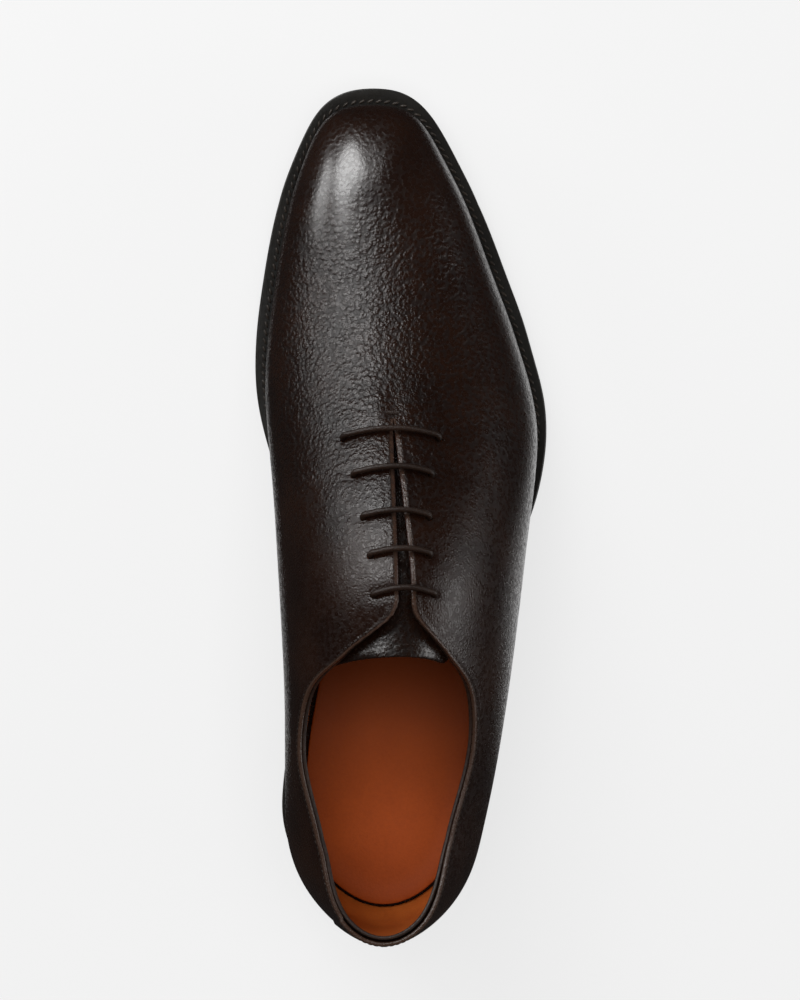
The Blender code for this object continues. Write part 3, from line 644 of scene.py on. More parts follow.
# %% The shoe's leathers, threads and rubber
UPPER_LEATHER = leather("dark_brown_grained_leather", (0.0050, 0.0014, 0.0005),
                        (0.0104, 0.0035, 0.0015), 0.27, 610.0, 0.00021, whole_cut=True)
TONGUE_LEATHER = leather("dark_brown_tongue_leather", (0.0046, 0.0016, 0.0007),
                         (0.0084, 0.0034, 0.0018), 0.27, 620.0, 0.00012, coat=0.35)
EDGE_BINDING = leather("dark_brown_binding", (0.0110, 0.0052, 0.0032),
                       (0.0190, 0.0092, 0.0058), 0.5, 900.0, 0.00005)
LINING_LEATHER = leather("tan_lining_leather", (0.30, 0.062, 0.0085),
                         (0.44, 0.110, 0.018), 0.55, 1100.0, 0.00004, specular=0.3, sink=0.06)
# The sock's colour darkens towards the toe: painted shade where the upper shades the front of the sock.
SOCK_LEATHER = leather("tan_sock_leather", (0.23, 0.038, 0.0036),
                       (0.30, 0.053, 0.0056), 0.55, 1300.0, 0.00003, mottle_size=22.0,
                       specular=0.3, sink=0.06, shade=(0.068, -0.012, 0.0, 1.0))
INSOLE_LEATHER = leather("natural_insole_leather", (0.36, 0.16, 0.07),
                         (0.46, 0.22, 0.10), 0.75, 1200.0, 0.00004)
INKED_EDGE = leather("black_inked_edge", (0.0045, 0.0038, 0.0029),
                     (0.0090, 0.0078, 0.0064), 0.36, 1500.0, 0.00003, stretch=0.3, coat=0.2, small=0.2)
SOLE_LEATHER = leather("dark_sole_leather", (0.0100, 0.0075, 0.0058),
                       (0.0180, 0.0140, 0.0110), 0.42, 1100.0, 0.00004)
TOP_RUBBER = leather("matt_black_rubber", (0.010, 0.010, 0.010),
                     (0.018, 0.018, 0.018), 0.7, 1700.0, 0.00005)
LACE_COTTON = leather("dark_brown_waxed_cotton", (0.0085, 0.0036, 0.0018),
                      (0.0170, 0.0080, 0.0046), 0.42, 1900.0, 0.00008)
THREAD = leather("dark_brown_thread", (0.0100, 0.0055, 0.0036),
                 (0.0200, 0.0120, 0.0085), 0.5, 2600.0, 0.00004)
WELT_THREAD = leather("dark_waxed_welt_thread", (0.0160, 0.0115, 0.0085),
                      (0.0300, 0.0225, 0.0170), 0.4, 2600.0, 0.00004)
print("leathers made:", len(bpy.data.materials))

# %% [markdown]
# ## The upper
# The upper is one skin. It is built between two depths under the last's surface: the outer leather
# is 1.35 mm thick and the lining behind it 1.2 mm, as in a real shoe, so the cut edge at the throat
# shows both. The topline is folded and stitched, which leaves a slightly raised band, and the pull
# of each lace bar presses a shallow hollow into the facings.

# %% The leather's low forms
LEATHER_THICK = 1.35
BAND_WIDTH, BAND_RAISE, SLIT_RAISE, CUT_DROP = 2.2, 0.22, 0.10, 0.25
SEAM_SECTION, SEAM_RAISE, SEAM_HALF = 1.35, 0.55, 0.03
OUTER_SEAM_FADE = (1.5, 4.0)
TROUGH_DEPTH, TROUGH_HALF, TROUGH_RUNOUT, TROUGH_SECTION = 0.45, 2.3, 3.0, 9.5
# Sections over which the collar's form turns into the facings': the folded band, the flatter rim,
# the dark cut edge and the ease that the rim needs.
BAND_FADE, FLAT_RIM_FADE, CUT_FADE, EASE_FADE = (9.9, 10.5), (9.4, 10.2), (9.9, 10.6), (9.6, 10.3)
# How many sections before the slit's end its edge starts to close.
CLOSING, BAND_CLOSING = 0.5, 0.6
# Soft puckers where the lace gathers the leather: two ends in plan, width and height in mm.
PUCKERS = (
    ((3.4, 186.0), (2.6, 199.0), 3.4, -0.32),
    ((-1.0, 185.5), (-4.5, 195.0), 2.6, 0.16),
    ((8.0, 185.5), (10.5, 194.0), 2.6, 0.16),
    ((-14.5, 178.5), (-30.0, 184.5), 3.0, -0.26),
    ((-15.5, 172.5), (-29.0, 174.0), 2.6, -0.20),
    ((-13.5, 165.0), (-27.0, 162.0), 3.0, -0.24),
    ((-11.5, 151.0), (-23.0, 146.5), 2.8, -0.16),
    ((21.0, 178.0), (35.0, 183.5), 3.0, -0.22),
    ((18.5, 165.0), (32.0, 164.0), 3.0, -0.16),
)


def fade_out(x, low, high):
    return 1 - smooth_step(x, low, high)


def folded_band(u, edge_mm):
    """The raised band along the topline, which thins out along the slit to a plain cut edge."""
    open_edge = fade_out(u, VAMP_SECTION - BAND_CLOSING, VAMP_SECTION)
    collar = fade_out(u, *BAND_FADE)
    raised = SLIT_RAISE + (BAND_RAISE - SLIT_RAISE) * collar
    band = raised * open_edge * fade_out(edge_mm, BAND_WIDTH - 0.5, BAND_WIDTH + 0.3)
    return band - CUT_DROP * open_edge * fade_out(edge_mm, 0.0, 1.0) * (1 - collar)


def lace_troughs(s, u, points):
    """The hollows that the five bars press into the facings."""
    x, y = points[..., 0], points[..., 1]
    x_off = abs(x - SPINE_X(np.clip(section_at(y), FIRST_SQUARE, LAST_SQUARE)))
    troughs = 0.0
    for eyelet_y, out_offset, in_offset, bow in LACING:
        reach = np.where(s.outer, out_offset, in_offset)
        bar_y = eyelet_y + bow * np.clip(1 - (x_off / reach) ** 2, 0, 1)
        across_bar = np.exp(-(((y - bar_y) / TROUGH_HALF) ** 2))
        troughs = troughs + across_bar * fade_out(x_off, reach, reach + TROUGH_RUNOUT)
    return TROUGH_DEPTH * troughs * np.where(u > TROUGH_SECTION, 1.0, 0.0)


def relief(t, points, edge_mm):
    """Low forms on the leather, in mm: the folded band, the rear seam's lap, troughs and puckers."""
    s = last_at(t)
    u = np.broadcast_to(s.u, edge_mm.shape)
    inner_lap = fade_out(u, SEAM_SECTION - SEAM_HALF, SEAM_SECTION + SEAM_HALF)
    lap = np.where(s.outer, fade_out(u, *OUTER_SEAM_FADE), inner_lap)
    lift = folded_band(u, edge_mm) + SEAM_RAISE * lap - lace_troughs(s, u, points)
    on_top = np.where(points[..., 2] > s.bulge, 1.0, 0.0)
    for start, end, width, height in PUCKERS:
        run = np.subtract(end, start)
        from_start = points[..., :2] - start
        along = np.clip((from_start @ run) / (run @ run), 0, 1)
        apart = np.linalg.norm(from_start - along[..., None] * run, axis=-1)
        lift = lift + height * (1 - along ** 2) * on_top * np.exp(-((apart / width) ** 2))
    return lift


# %% Skins between two depths
RIM_TURNS = 7
RIM_CUT = (0.0, 0.3, 1.0, 1.0, 1.0, 1.0, 1.0)
HALF_ROUND, COLLAR_FLATTER = 0.5, 0.45
BELOW_ROWS, MARGIN_ROWS, CROWDING = 12, 4, 1.6
FAR_FROM_EDGE, MARGIN_FROM_EDGE = 9.0, 5


def rows_towards_edge(count):
    """Row positions from 0 to 1 that crowd towards the topline."""
    return 1 - (1 - np.linspace(0, 1, count)) ** CROWDING


def distance_from_edge(points):
    """Arc length from the top row down, for each rib."""
    steps = np.linalg.norm(np.diff(points[:, ::-1], axis=1), axis=-1)
    total = np.concatenate([np.zeros((len(points), 1)), np.cumsum(steps, axis=1)], axis=1)
    return total[:, ::-1]


def rows_past_bulge(start, top, count_below, fractions):
    """The q of each row: evenly from the start up to the fullest line, then on to the top."""
    below = start[:, None] * (1 - np.linspace(0, 1, count_below))
    return np.concatenate([below, top[:, None] * fractions[1:]], 1)


def skin_piece(name, t, top, low_q, depths, row_counts, margin=True, form=None):
    """A closed skin round the shoe between two depths, from its lower edge up to its top edge."""
    column_t = t[:, None]
    front_rows, back_rows = (rows_towards_edge(count) for count in row_counts)
    if margin:
        q_out = rows_past_bulge(np.full_like(top, -1.0), top, BELOW_ROWS, front_rows)
        q_in = rows_past_bulge(low_q, top, MARGIN_ROWS, back_rows)
    else:
        q_out, q_in = (low_q[:, None] + (top - low_q)[:, None] * rows for rows in (front_rows, back_rows))
    base, inward = surface(column_t, q_out), -normal(column_t, q_in)
    edge_mm = distance_from_edge(base)
    lift = form(column_t, base, edge_mm) if form else 0.0 * edge_mm
    front = base + normal(column_t, q_out) * (lift - depths[0])[..., None]
    back = surface(column_t, q_in) + inward * depths[1]
    back[:, -1] -= inward[:, -1] * lift[:, -1:]
    s = last_at(t)
    if margin:
        flange = s.feather - FLANGE * s.away
        low = np.column_stack([flange, sole_underside(flange[:, 1]) + FEATHER])[:, None]
        front = np.concatenate([low, front], 1)
        back = np.concatenate([low + (0, 0, depths[1]), back], 1)
        edge_mm = np.concatenate([edge_mm[:, :1] + MARGIN_FROM_EDGE, edge_mm], 1)
    bulge = (HALF_ROUND * (1 - COLLAR_FLATTER * fade_out(s.u, *FLAT_RIM_FADE))
             * fade_out(s.u, VAMP_SECTION - CLOSING, VAMP_SECTION))
    rim = half_round(front[:, -1], back[:, -1], unit(front[:, -1] - front[:, -2]), bulge,
                     np.linspace(0, np.pi, RIM_TURNS))
    closed = s.u > VAMP_SECTION + 1e-6
    # The outside, the inside, the strip that joins them underneath, and the rim at the top.
    parts = (front, back, np.stack([front[:, 0], back[:, 0]], 1), rim)
    faces, offset = [], 0
    for part in parts:
        skip = (lambda i, j: closed[i] or closed[j]) if part is rim else None
        faces += quads(len(t), part.shape[1], offset, True, skip)
        offset += len(t) * part.shape[1]
    edges, cut = ([0 * part[..., 0] for part in parts] for _ in range(2))
    edges[0] = edge_mm + np.where(closed, FAR_FROM_EDGE, 0.0)[:, None]
    edges[1] = edges[1] + FAR_FROM_EDGE
    cut[3] = smooth_step(s.u, *CUT_FADE)[:, None] * np.array(RIM_CUT)
    numbers = {"edge_mm": edges, "cut": cut}
    flat = {key: np.concatenate([part.reshape(-1) for part in value]) for key, value in numbers.items()}
    return make_piece(name, np.concatenate([part.reshape(-1, 3) for part in parts]), faces, flat)


# %% The upper's skin
RIM_ROOM, FACING_EASE = 0.6, 0.55
EDGE_STEPS, EDGE_PROBE, MARGIN_HALVINGS = 12, 0.002, 24
SKIN_STEP = 0.125
THROAT_FINE = (*np.arange(8.6, 10.9, 0.045), *np.arange(10.9, VAMP_SECTION, 0.06), VAMP_SECTION)
SEAM_FINE = (SEAM_SECTION - 0.04, SEAM_SECTION, SEAM_SECTION + 0.04)
UPPER_ROWS = (44, 7)


def q_below_edge(t, top, distance):
    """The q this many millimetres down the surface from the top edge."""
    q = top.copy()
    for _ in range(EDGE_STEPS):
        here, near = surface(t, q), surface(t, q - EDGE_PROBE)
        speed = np.linalg.norm(here - near, axis=-1) / EDGE_PROBE
        q = q - (distance / EDGE_STEPS) / np.maximum(speed, 1.0)
    return q


def edge_q(t):
    """Where the flat of the leather stops, so that its rounded rim ends at the true edge."""
    u = last_at(t).u
    facing = smooth_step(u, *EASE_FADE) * fade_out(u, EASE_FADE[1], VAMP_SECTION)
    open_edge = fade_out(u, VAMP_SECTION - CLOSING, VAMP_SECTION)
    return q_below_edge(t, top_q(t), (RIM_ROOM + FACING_EASE * facing) * open_edge)


def lining_start(t, depth):
    """The q where the inside of the wall meets the turned-in margin."""
    low, high = np.full(t.shape, -1.0), np.zeros(t.shape)
    for _ in range(MARGIN_HALVINGS):
        middle = 0.5 * (low + high)
        inside = surface(t, middle) - depth * normal(t, middle)
        under = inside[..., 2] < sole_underside(inside[..., 1]) + FEATHER + depth
        low, high = np.where(under, middle, low), np.where(under, high, middle)
    return high


UPPER_T = around(SKIN_STEP, THROAT_FINE + SEAM_FINE)
UPPER_TOP = edge_q(UPPER_T)
upper = skin_piece("upper_leather", UPPER_T, UPPER_TOP, lining_start(UPPER_T, LEATHER_THICK),
                   (0.0, LEATHER_THICK), UPPER_ROWS, form=relief)

# %% [markdown]
# ## The throat's eyelets
# There are no metal eyelets: the lace runs through ten plain punched holes. One cutter with ten
# pins punches the upper and later the lining behind it, as a Boolean. A dark disc on the surface
# would be simpler, but a real hole shows the leather's thickness when you look along it.

# %% Eyelet holes
EYELET_RADIUS, EYELET_SIDES, PUNCH_LENGTH, PUNCH_SHARP = 1.45, 20, 5 * WALL, 50


def over(y, distance, outer, lift):
    """The point over the upper at this y and distance from the slit line, and the way out there."""
    u = section_at(y)
    t = np.array(u if outer else LOOP - u)
    q = q_at_distance(t, distance)
    way_out = normal(t, q)
    return surface(t, q) + lift * way_out, way_out


def eyelet(row, outer):
    """An eyelet's place on the upper's outside and its axis, pointing out."""
    y, out_offset, in_offset, _ = LACING[row]
    return over(y, out_offset if outer else in_offset, outer, 0.0)


def eyelet_cutter():
    bm = bmesh.new()
    radius = EYELET_RADIUS * MM
    for row in range(len(LACING)):
        for outer in (True, False):
            centre, axis = eyelet(row, outer)
            turn = Vector(axis).to_track_quat("Z", "Y").to_matrix().to_4x4()
            turn.translation = Vector(metres(centre - 0.5 * WALL * axis))
            bmesh.ops.create_cone(bm, cap_ends=True, segments=EYELET_SIDES, radius1=radius,
                                  radius2=radius, depth=PUNCH_LENGTH * MM, matrix=turn)
    mesh = bpy.data.meshes.new("eyelet_cutter")
    bm.to_mesh(mesh)
    bm.free()
    return new_object("eyelet_cutter", mesh)


def punch(piece, cutter):
    cut = piece.modifiers.new("eyelets", "BOOLEAN")
    cut.operation = "DIFFERENCE"
    cut.object = cutter
    done = plain_mesh(piece)
    done.shade_smooth()
    done.set_sharp_from_angle(angle=math.radians(PUNCH_SHARP))
    done.materials.clear()


CUTTER = eyelet_cutter()
punch(upper, CUTTER)
finish_piece(upper, UPPER_LEATHER, "upper_leather", "upper")

# %% [markdown]
# ## Lining and topline binding
# Inside the collar a narrow strip of the brown leather binds the topline, and below it the tan
# lining goes down to the sock. The lining uses the same skin maker, only deeper and between other
# edges. The binding isn't a full round, so it has closed ribs of its own.

# %% Lining and binding
LINING_TOP, LINING_LAP, LAYER_GAP = 6.5, 0.1, 0.05
BINDING_DEPTH, BINDING_ROUND, BINDING_ROWS, BINDING_SHY = 2.75, 0.27, 9, 0.001
LINING_STEP, LINING_ROWS = 0.25, (10, 30)


def binding_piece():
    """The open strip round the collar: ribs that run up its outside, over its rim and back down."""
    shut = last_at(UPPER_T).u >= VAMP_SECTION - 0.1
    first, last = int(np.argmax(shut)), len(shut) - int(np.argmax(shut[::-1]))
    order = np.concatenate([np.arange(last, len(shut)), np.arange(first)])
    t, top = UPPER_T[order], UPPER_TOP[order] - BINDING_SHY
    low = q_below_edge(UPPER_T, UPPER_TOP, LINING_TOP)[order]
    q = low[:, None] + (top - low)[:, None] * np.linspace(0, 1, BINDING_ROWS)
    base, n = surface(t[:, None], q), normal(t[:, None], q)
    outer, inner = base - n * (LEATHER_THICK + LAYER_GAP), base - n * BINDING_DEPTH
    crown = half_round(outer[:, -1], inner[:, -1], unit(base[:, -1] - base[:, -2]), BINDING_ROUND,
                       np.linspace(0, np.pi, RIM_TURNS)[1:-1])
    ring = np.concatenate([outer, crown, inner[:, ::-1], outer[:, :1]], 1)
    rows = ring.shape[1]
    faces = quads(len(t), rows)
    faces += [tuple(end + k for k in range(rows - 1)) for end in (0, (len(t) - 1) * rows)]
    return make_piece("topline_binding", ring.reshape(-1, 3), faces, sharp_angle=60)


def lining_piece():
    t = around(LINING_STEP, (VAMP_SECTION,))
    edge = top_q(t)
    opened = last_at(t).u < VAMP_SECTION - 0.02
    top = np.where(opened, q_below_edge(t, edge, LINING_TOP + LINING_LAP), edge)
    return skin_piece("lining", t, np.minimum(top, edge), lining_start(t, WALL),
                      (LEATHER_THICK + LAYER_GAP, WALL), LINING_ROWS, margin=False)


finish_piece(binding_piece(), EDGE_BINDING, "upper_leather")
lining = lining_piece()
punch(lining, CUTTER)
finish_piece(lining, LINING_LEATHER, "upper_leather")

# %% [markdown]
# ## Sole, welt and heel
# The bottom of the shoe is a pile of plates that all share the last's outline, each with its own
# reach. One function makes them: ribs from the middle out along the top, round a soft edge, and
# back underneath.

# %% Plates of the bottom
EDGE_TURNS, PLATE_SHARP = 5, 40
BREAST_SECTION = section_at(HEEL_BREAST_Y)


def stacked(offset):
    return lambda y: sole_underside(y) + offset


def reach_less(inset):
    """An outline this far inside the sole's edge."""
    return lambda s: s.reach - inset


def plate(name, t, outline, low, high, rounding, inner=None, rows=7, dish=None):
    """A plate or, with an inner line, a strip, as ribs round the shoe. Heights follow the y."""
    s = last_at(t)
    strip = inner is not None
    start = s.feather + inner * s.away if strip else s.spine
    shy = s.feather + outline(s)[:, None] * s.away - rounding * s.away
    mix = np.linspace(0, 1, rows)[None, :, None]
    flat = start[:, None] * (1 - mix) + shy[:, None] * mix
    top_z, low_z = high(flat[..., 1]), low(flat[..., 1])
    if dish is not None:
        top_z = top_z + dish(s, mix[..., 0])
    turns = np.linspace(0, np.pi / 2, EDGE_TURNS)[1:]
    edge = []
    for level, way, angles in ((top_z[:, -1], -1, turns), (low_z[:, -1], 1, turns[::-1])):
        for angle in angles:
            plan = shy + rounding * np.sin(angle) * s.away
            edge.append(np.column_stack([plan, level + way * rounding * (1 - np.cos(angle))]))
    top, under = (np.concatenate([flat, z[..., None]], -1) for z in (top_z, low_z))
    ring = np.concatenate([top, np.stack(edge, 1), under[:, ::-1]], 1)
    if strip:
        ring = np.concatenate([ring, ring[:, :1]], 1)
    count, size = ring.shape[:2]
    whole = abs((t[-1] - t[0]) % LOOP) > LOOP - 1
    faces = quads(count, size, 0, whole)
    if not whole:
        corners = range(size - 1 if strip else size)
        faces += [tuple(rib * size + k for k in corners) for rib in (0, count - 1)]
    return make_piece(name, ring.reshape(-1, 3), faces, sharp_angle=PLATE_SHARP)


# %% Outsole, welt and heel seat rand
BOTTOM_T = around(SKIN_STEP)
NEAR_BREAST, BREAST_GAP = 0.02, 0.5 * GAP / SECTION_STEP
REAR_HALF = BOTTOM_T[BOTTOM_T < BREAST_SECTION - NEAR_BREAST]
WELT_INSET, RAND_INSET = 0.4, 0.7
SOLE_ROUND, WELT_ROUND, RAND_ROUND = 0.9, 0.5, 0.6
in_front = (BOTTOM_T > BREAST_SECTION + NEAR_BREAST) & (BOTTOM_T < LOOP - BREAST_SECTION - NEAR_BREAST)
FRONT_T = np.array([BREAST_SECTION + BREAST_GAP, *BOTTOM_T[in_front], LOOP - BREAST_SECTION - BREAST_GAP])


def rear_sections(gap):
    """Sections round the heel, from the breast's inner end to its outer one."""
    return np.array([LOOP - BREAST_SECTION + gap, *(LOOP - REAR_HALF[:0:-1]), *REAR_HALF,
                     BREAST_SECTION - gap])


outsole = plate("outsole_leather", BOTTOM_T, reach_less(0.0), stacked(0.0), stacked(SOLE_THICK),
                SOLE_ROUND)
finish_piece(outsole, SOLE_LEATHER, "edge_leather", "outsole")
for name, node, t, inset, rounding in (
        ("welt_strip", "welt", FRONT_T, WELT_INSET, WELT_ROUND),
        ("heel_seat_rand", "heel_rand", rear_sections(BREAST_GAP), RAND_INSET, RAND_ROUND)):
    strip = plate(name, t, reach_less(inset), stacked(WELT_BASE), stacked(WELT_BASE + WELT_THICK),
                  rounding, inner=-FLANGE)
    finish_piece(strip, INKED_EDGE, "edge_leather", node)

# %% The heel's lifts
TOP_PIECE_SHARE, LIFT_COUNT, HEEL_TAPER, LIFT_ROUND = 0.26, 3, 2.2, 0.35
shares = [0.0] + [TOP_PIECE_SHARE + (1 - TOP_PIECE_SHARE) * i / LIFT_COUNT for i in range(LIFT_COUNT + 1)]
for index, (low, high) in enumerate(zip(shares, shares[1:])):
    node, finish, slot = f"heel_lift_{index}", INKED_EDGE, "edge_leather"
    if index == 0:
        node, finish, slot = "heel_top_piece", TOP_RUBBER, "top_piece_rubber"
    piece = plate(node + "_finished", rear_sections(0.0), reach_less(HEEL_TAPER * (1 - 0.5 * (low + high))),
                  lambda y, low=low: low * sole_underside(y),
                  lambda y, high=high: high * sole_underside(y) - GAP, LIFT_ROUND)
    finish_piece(piece, finish, slot, node)

# %% [markdown]
# ## Sock and insole
# The tan sock is the leather that the foot stands on. Its edges turn up a little against the
# lining. The insole under it doesn't show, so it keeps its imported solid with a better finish.

# %% Sock
SOCK_BASE, SOCK_INSET, SOCK_ROUND, SOCK_ROWS = FEATHER + WALL + GAP, WALL + 0.6, 0.4, 18
SOCK_TURN_UP, SOCK_TURN_FROM, SOCK_WAVE = 0.9, 0.72, 0.25


def sock_dish(s, mix):
    wave = SOCK_WAVE * np.sin(2.4 * mix) * np.sin(s.u[:, None] * 0.9)
    return SOCK_TURN_UP * smooth_step(mix, SOCK_TURN_FROM, 1.0) + wave


sock = plate("sock_lining", BOTTOM_T, lambda s: np.full_like(s.reach, -SOCK_INSET), stacked(SOCK_BASE),
             stacked(SOCK_BASE + SOCK_THICK), SOCK_ROUND, rows=SOCK_ROWS, dish=sock_dish)
finish_piece(sock, SOCK_LEATHER, "sock_leather", "sock")
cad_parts["insole"].data.materials[0] = INSOLE_LEATHER

# %% [markdown]
# ## Tongue
# The tongue is a saddle of leather under the facings. It follows the last too, only deeper, with a
# rounded rim. Its free end rises a little in the middle, where no lace holds it down.

# %% Tongue
TONGUE_THICK, TONGUE_ROUND = 2.0, 0.25
LACE_RADIUS = 1.05
LACE_ROOM = 2.3
TONGUE_SEAT_DEPTH = WALL + GAP
TONGUE_DEPTH = WALL + 3 * GAP + LACE_ROOM
TONGUE_ROOT_Y, TONGUE_SEAT_Y, TONGUE_SINK = 194.0, 185.0, 11.5
TONGUE_END_Y, TONGUE_END_DIP, TONGUE_CORNER, TONGUE_CORNER_FROM = 103.0, 5.0, 4.0, 0.82
TONGUE_LIFT, TONGUE_LIFT_Y, TONGUE_SIDES_LOWER = 4.6, 123.0, 0.75
TONGUE_ROOT_HALF, TONGUE_END_HALF, TONGUE_INNER_HALF, TONGUE_WIDENING = 15.0, 21.0, 28.5, 1.4
TONGUE_COLUMNS, TONGUE_ROWS = 61, 90
NEVER_ZERO = 1e-9


def tongue_surface(y, across, extra):
    """Points on the tongue: across runs from -1 at the inner edge to 1 at the outer one."""
    along = (TONGUE_ROOT_Y - y) / (TONGUE_ROOT_Y - TONGUE_END_Y)
    end_half = np.where(across >= 0, TONGUE_END_HALF, TONGUE_INNER_HALF)
    half = TONGUE_ROOT_HALF + (end_half - TONGUE_ROOT_HALF) * np.minimum(1.0, TONGUE_WIDENING * along)
    free = smooth_step(TONGUE_SEAT_Y - y, 0.0, TONGUE_SINK)
    risen = np.clip((TONGUE_LIFT_Y - y) / (TONGUE_LIFT_Y - TONGUE_END_Y), 0, 1)
    lifted = TONGUE_LIFT * risen ** 2 * (1 - TONGUE_SIDES_LOWER * across ** 2)
    depth = TONGUE_SEAT_DEPTH + (TONGUE_DEPTH - TONGUE_SEAT_DEPTH) * free - lifted
    u = section_at(y)
    t = np.where(across >= 0, u, LOOP - u)
    q = q_at_distance(t, abs(across) * half)
    return surface(t, q) - (depth + extra)[..., None] * normal(t, q)


def slab(name, top, under):
    """A closed slab between two grids, with a half-round rim."""
    def border(grid, step):
        sides = (grid[step, :-1], grid[:-1, -1 - step], grid[-1 - step, :0:-1], grid[:0:-1, step])
        return np.concatenate(sides)

    columns, rows = top.shape[:2]
    a, b = border(top, 0), border(under, 0)
    rim = half_round(a, b, unit(a - border(top, 1)), HALF_ROUND, np.linspace(0, np.pi, RIM_TURNS))
    points = np.concatenate([part.reshape(-1, 3) for part in (top, under, rim)])
    faces = quads(columns, rows) + quads(columns, rows, columns * rows)
    faces += quads(len(a), RIM_TURNS, 2 * columns * rows, True)
    return make_piece(name, points, faces, weld=4e-6)


def tongue_grid(extra):
    across = np.linspace(-1, 1, TONGUE_COLUMNS)
    along = np.linspace(0, 1, TONGUE_ROWS)[:, None]
    past = np.clip((abs(across) - TONGUE_CORNER_FROM) / (1 - TONGUE_CORNER_FROM), 0, 1)
    end = TONGUE_END_Y - TONGUE_END_DIP * across ** 2 + TONGUE_CORNER * (1 - np.sqrt(1 - past ** 2))
    y = TONGUE_ROOT_Y + (end[None, :] - TONGUE_ROOT_Y) * along
    across = np.broadcast_to(np.where(abs(across) < NEVER_ZERO, NEVER_ZERO, across), y.shape)
    return tongue_surface(y, across, np.full(y.shape, extra))


tongue = slab("tongue_leather", tongue_grid(TONGUE_ROUND), tongue_grid(TONGUE_THICK - TONGUE_ROUND))
finish_piece(tongue, TONGUE_LEATHER, "tongue_leather", "tongue")

# %% [markdown]
# ## Lace
# The lace is a thin round waxed cord in straight bars. It dives through each hole and runs under
# the facing to the next bar. A path of points is swept by Geometry Nodes, which is the simplest way
# to keep one thickness along the whole cord.

# %% The lace's path
LACE_DEPTH = WALL + GAP + 1.15
BAR_LIFT, BAR_ARCH, LONG_RUN_ASIDE, LACE_STEP = 1.3, 0.45, 3.6, 0.55
BAR_STEPS = (-0.94, -0.8, -0.62, -0.42, -0.2, 0.0, 0.2, 0.42, 0.62, 0.8, 0.94)
# The long run under the inner facing: the bar that it passes, and its y there.
LONG_RUN = ((4, 124.5), (3, 136.7), (2, 150.0), (1, 163.0))
HOLE_MOUTH, HOLE_FOOT, TURN_AWAY = 0.2, WALL + 0.3, 1.3


def lace_bar(row, from_inner):
    y, out_offset, in_offset, bow = LACING[row]
    points = []
    for step in BAR_STEPS:
        outer, offset = (False, in_offset) if step < 0 else (True, out_offset)
        arch = 1 - step * step
        points.append(over(y + bow * arch, abs(step) * offset, outer, BAR_LIFT + BAR_ARCH * arch)[0])
    return points if from_inner else points[::-1]


def through(row, outer, toward, down):
    """Three points through an eyelet, bent towards the next one under the facing."""
    centre, axis = eyelet(row, outer)
    away = toward - centre
    away = unit(away - axis * (away @ axis))
    turn = [centre + HOLE_MOUTH * axis, centre - HOLE_FOOT * axis,
            centre - LACE_DEPTH * axis + TURN_AWAY * away]
    return turn if down else turn[::-1]


def lace_path():
    path = [over(y, LACING[row][2] + LONG_RUN_ASIDE, False, -LACE_DEPTH)[0] for row, y in LONG_RUN]
    path += through(0, False, path[-1], False)
    last_row = len(LACING) - 1
    for row in range(len(LACING)):
        outer_end = row % 2 == 0
        path += lace_bar(row, outer_end)
        following = row - 1 if row == last_row else row + 1
        path += through(row, outer_end, eyelet(following, outer_end)[0], True)
        if row < last_row:
            path += through(row + 1, outer_end, eyelet(row, outer_end)[0], False)
    return np.array(path)


def resample(points, spacing):
    """Points at an even spacing on a smooth curve through the given ones."""
    length = np.concatenate([[0], np.cumsum(np.linalg.norm(np.diff(points, axis=0), axis=1))])
    first = (points[1] - points[0]) / length[1]
    last = (points[-1] - points[-2]) / (length[-1] - length[-2])
    at = np.arange(0, length[-1], spacing)
    return np.stack([spline(length, points[:, i], (first[i], last[i]))(at) for i in range(3)], -1)


# %% Sweep and stitch trees in Geometry Nodes
def path_object(name, paths):
    """Edges through each list of points, in millimetres: what the trees below start from."""
    points, edges = [], []
    for path in paths:
        start = len(points)
        points += metres(path).tolist()
        edges += [(start + i, start + i + 1) for i in range(len(path) - 1)]
    mesh = bpy.data.meshes.new(name)
    mesh.from_pydata(points, edges, [])
    return new_object(name, mesh)


def geometry_tree(name, sizes):
    tree, given, out = new_tree(name, "GeometryNodeTree", sizes)
    add_interface(tree, "INPUT", "Material", ["Finish"])
    add_interface(tree, "OUTPUT", "Geometry", ["Geometry"])
    curve = add_node(tree, "GeometryNodeMeshToCurve", {"Mesh": given["Geometry"]})
    return tree, given, out, curve.outputs["Curve"]


def end_tree(tree, given, out, made):
    """Shades smooth, turns instances into a mesh and gives it its material."""
    shade = add_node(tree, "GeometryNodeSetShadeSmooth", {"Geometry": made})
    realize = add_node(tree, "GeometryNodeRealizeInstances", {"Geometry": shade.outputs["Geometry"]})
    finish = add_node(tree, "GeometryNodeSetMaterial", {"Geometry": realize.outputs["Geometry"],
                                                        "Material": given["Finish"]})
    plug(tree, finish.outputs["Geometry"], out["Geometry"])
    return tree


def cord_tree():
    tree, given, out, curve = geometry_tree("cord_along_path", {"Radius": 0.001})
    ring = add_node(tree, "GeometryNodeCurvePrimitiveCircle", {"Resolution": 14, "Radius": given["Radius"]})
    sweep = add_node(tree, "GeometryNodeCurveToMesh", {
        "Curve": curve, "Profile Curve": ring.outputs["Curve"], "Fill Caps": True})
    return end_tree(tree, given, out, sweep.outputs["Mesh"])


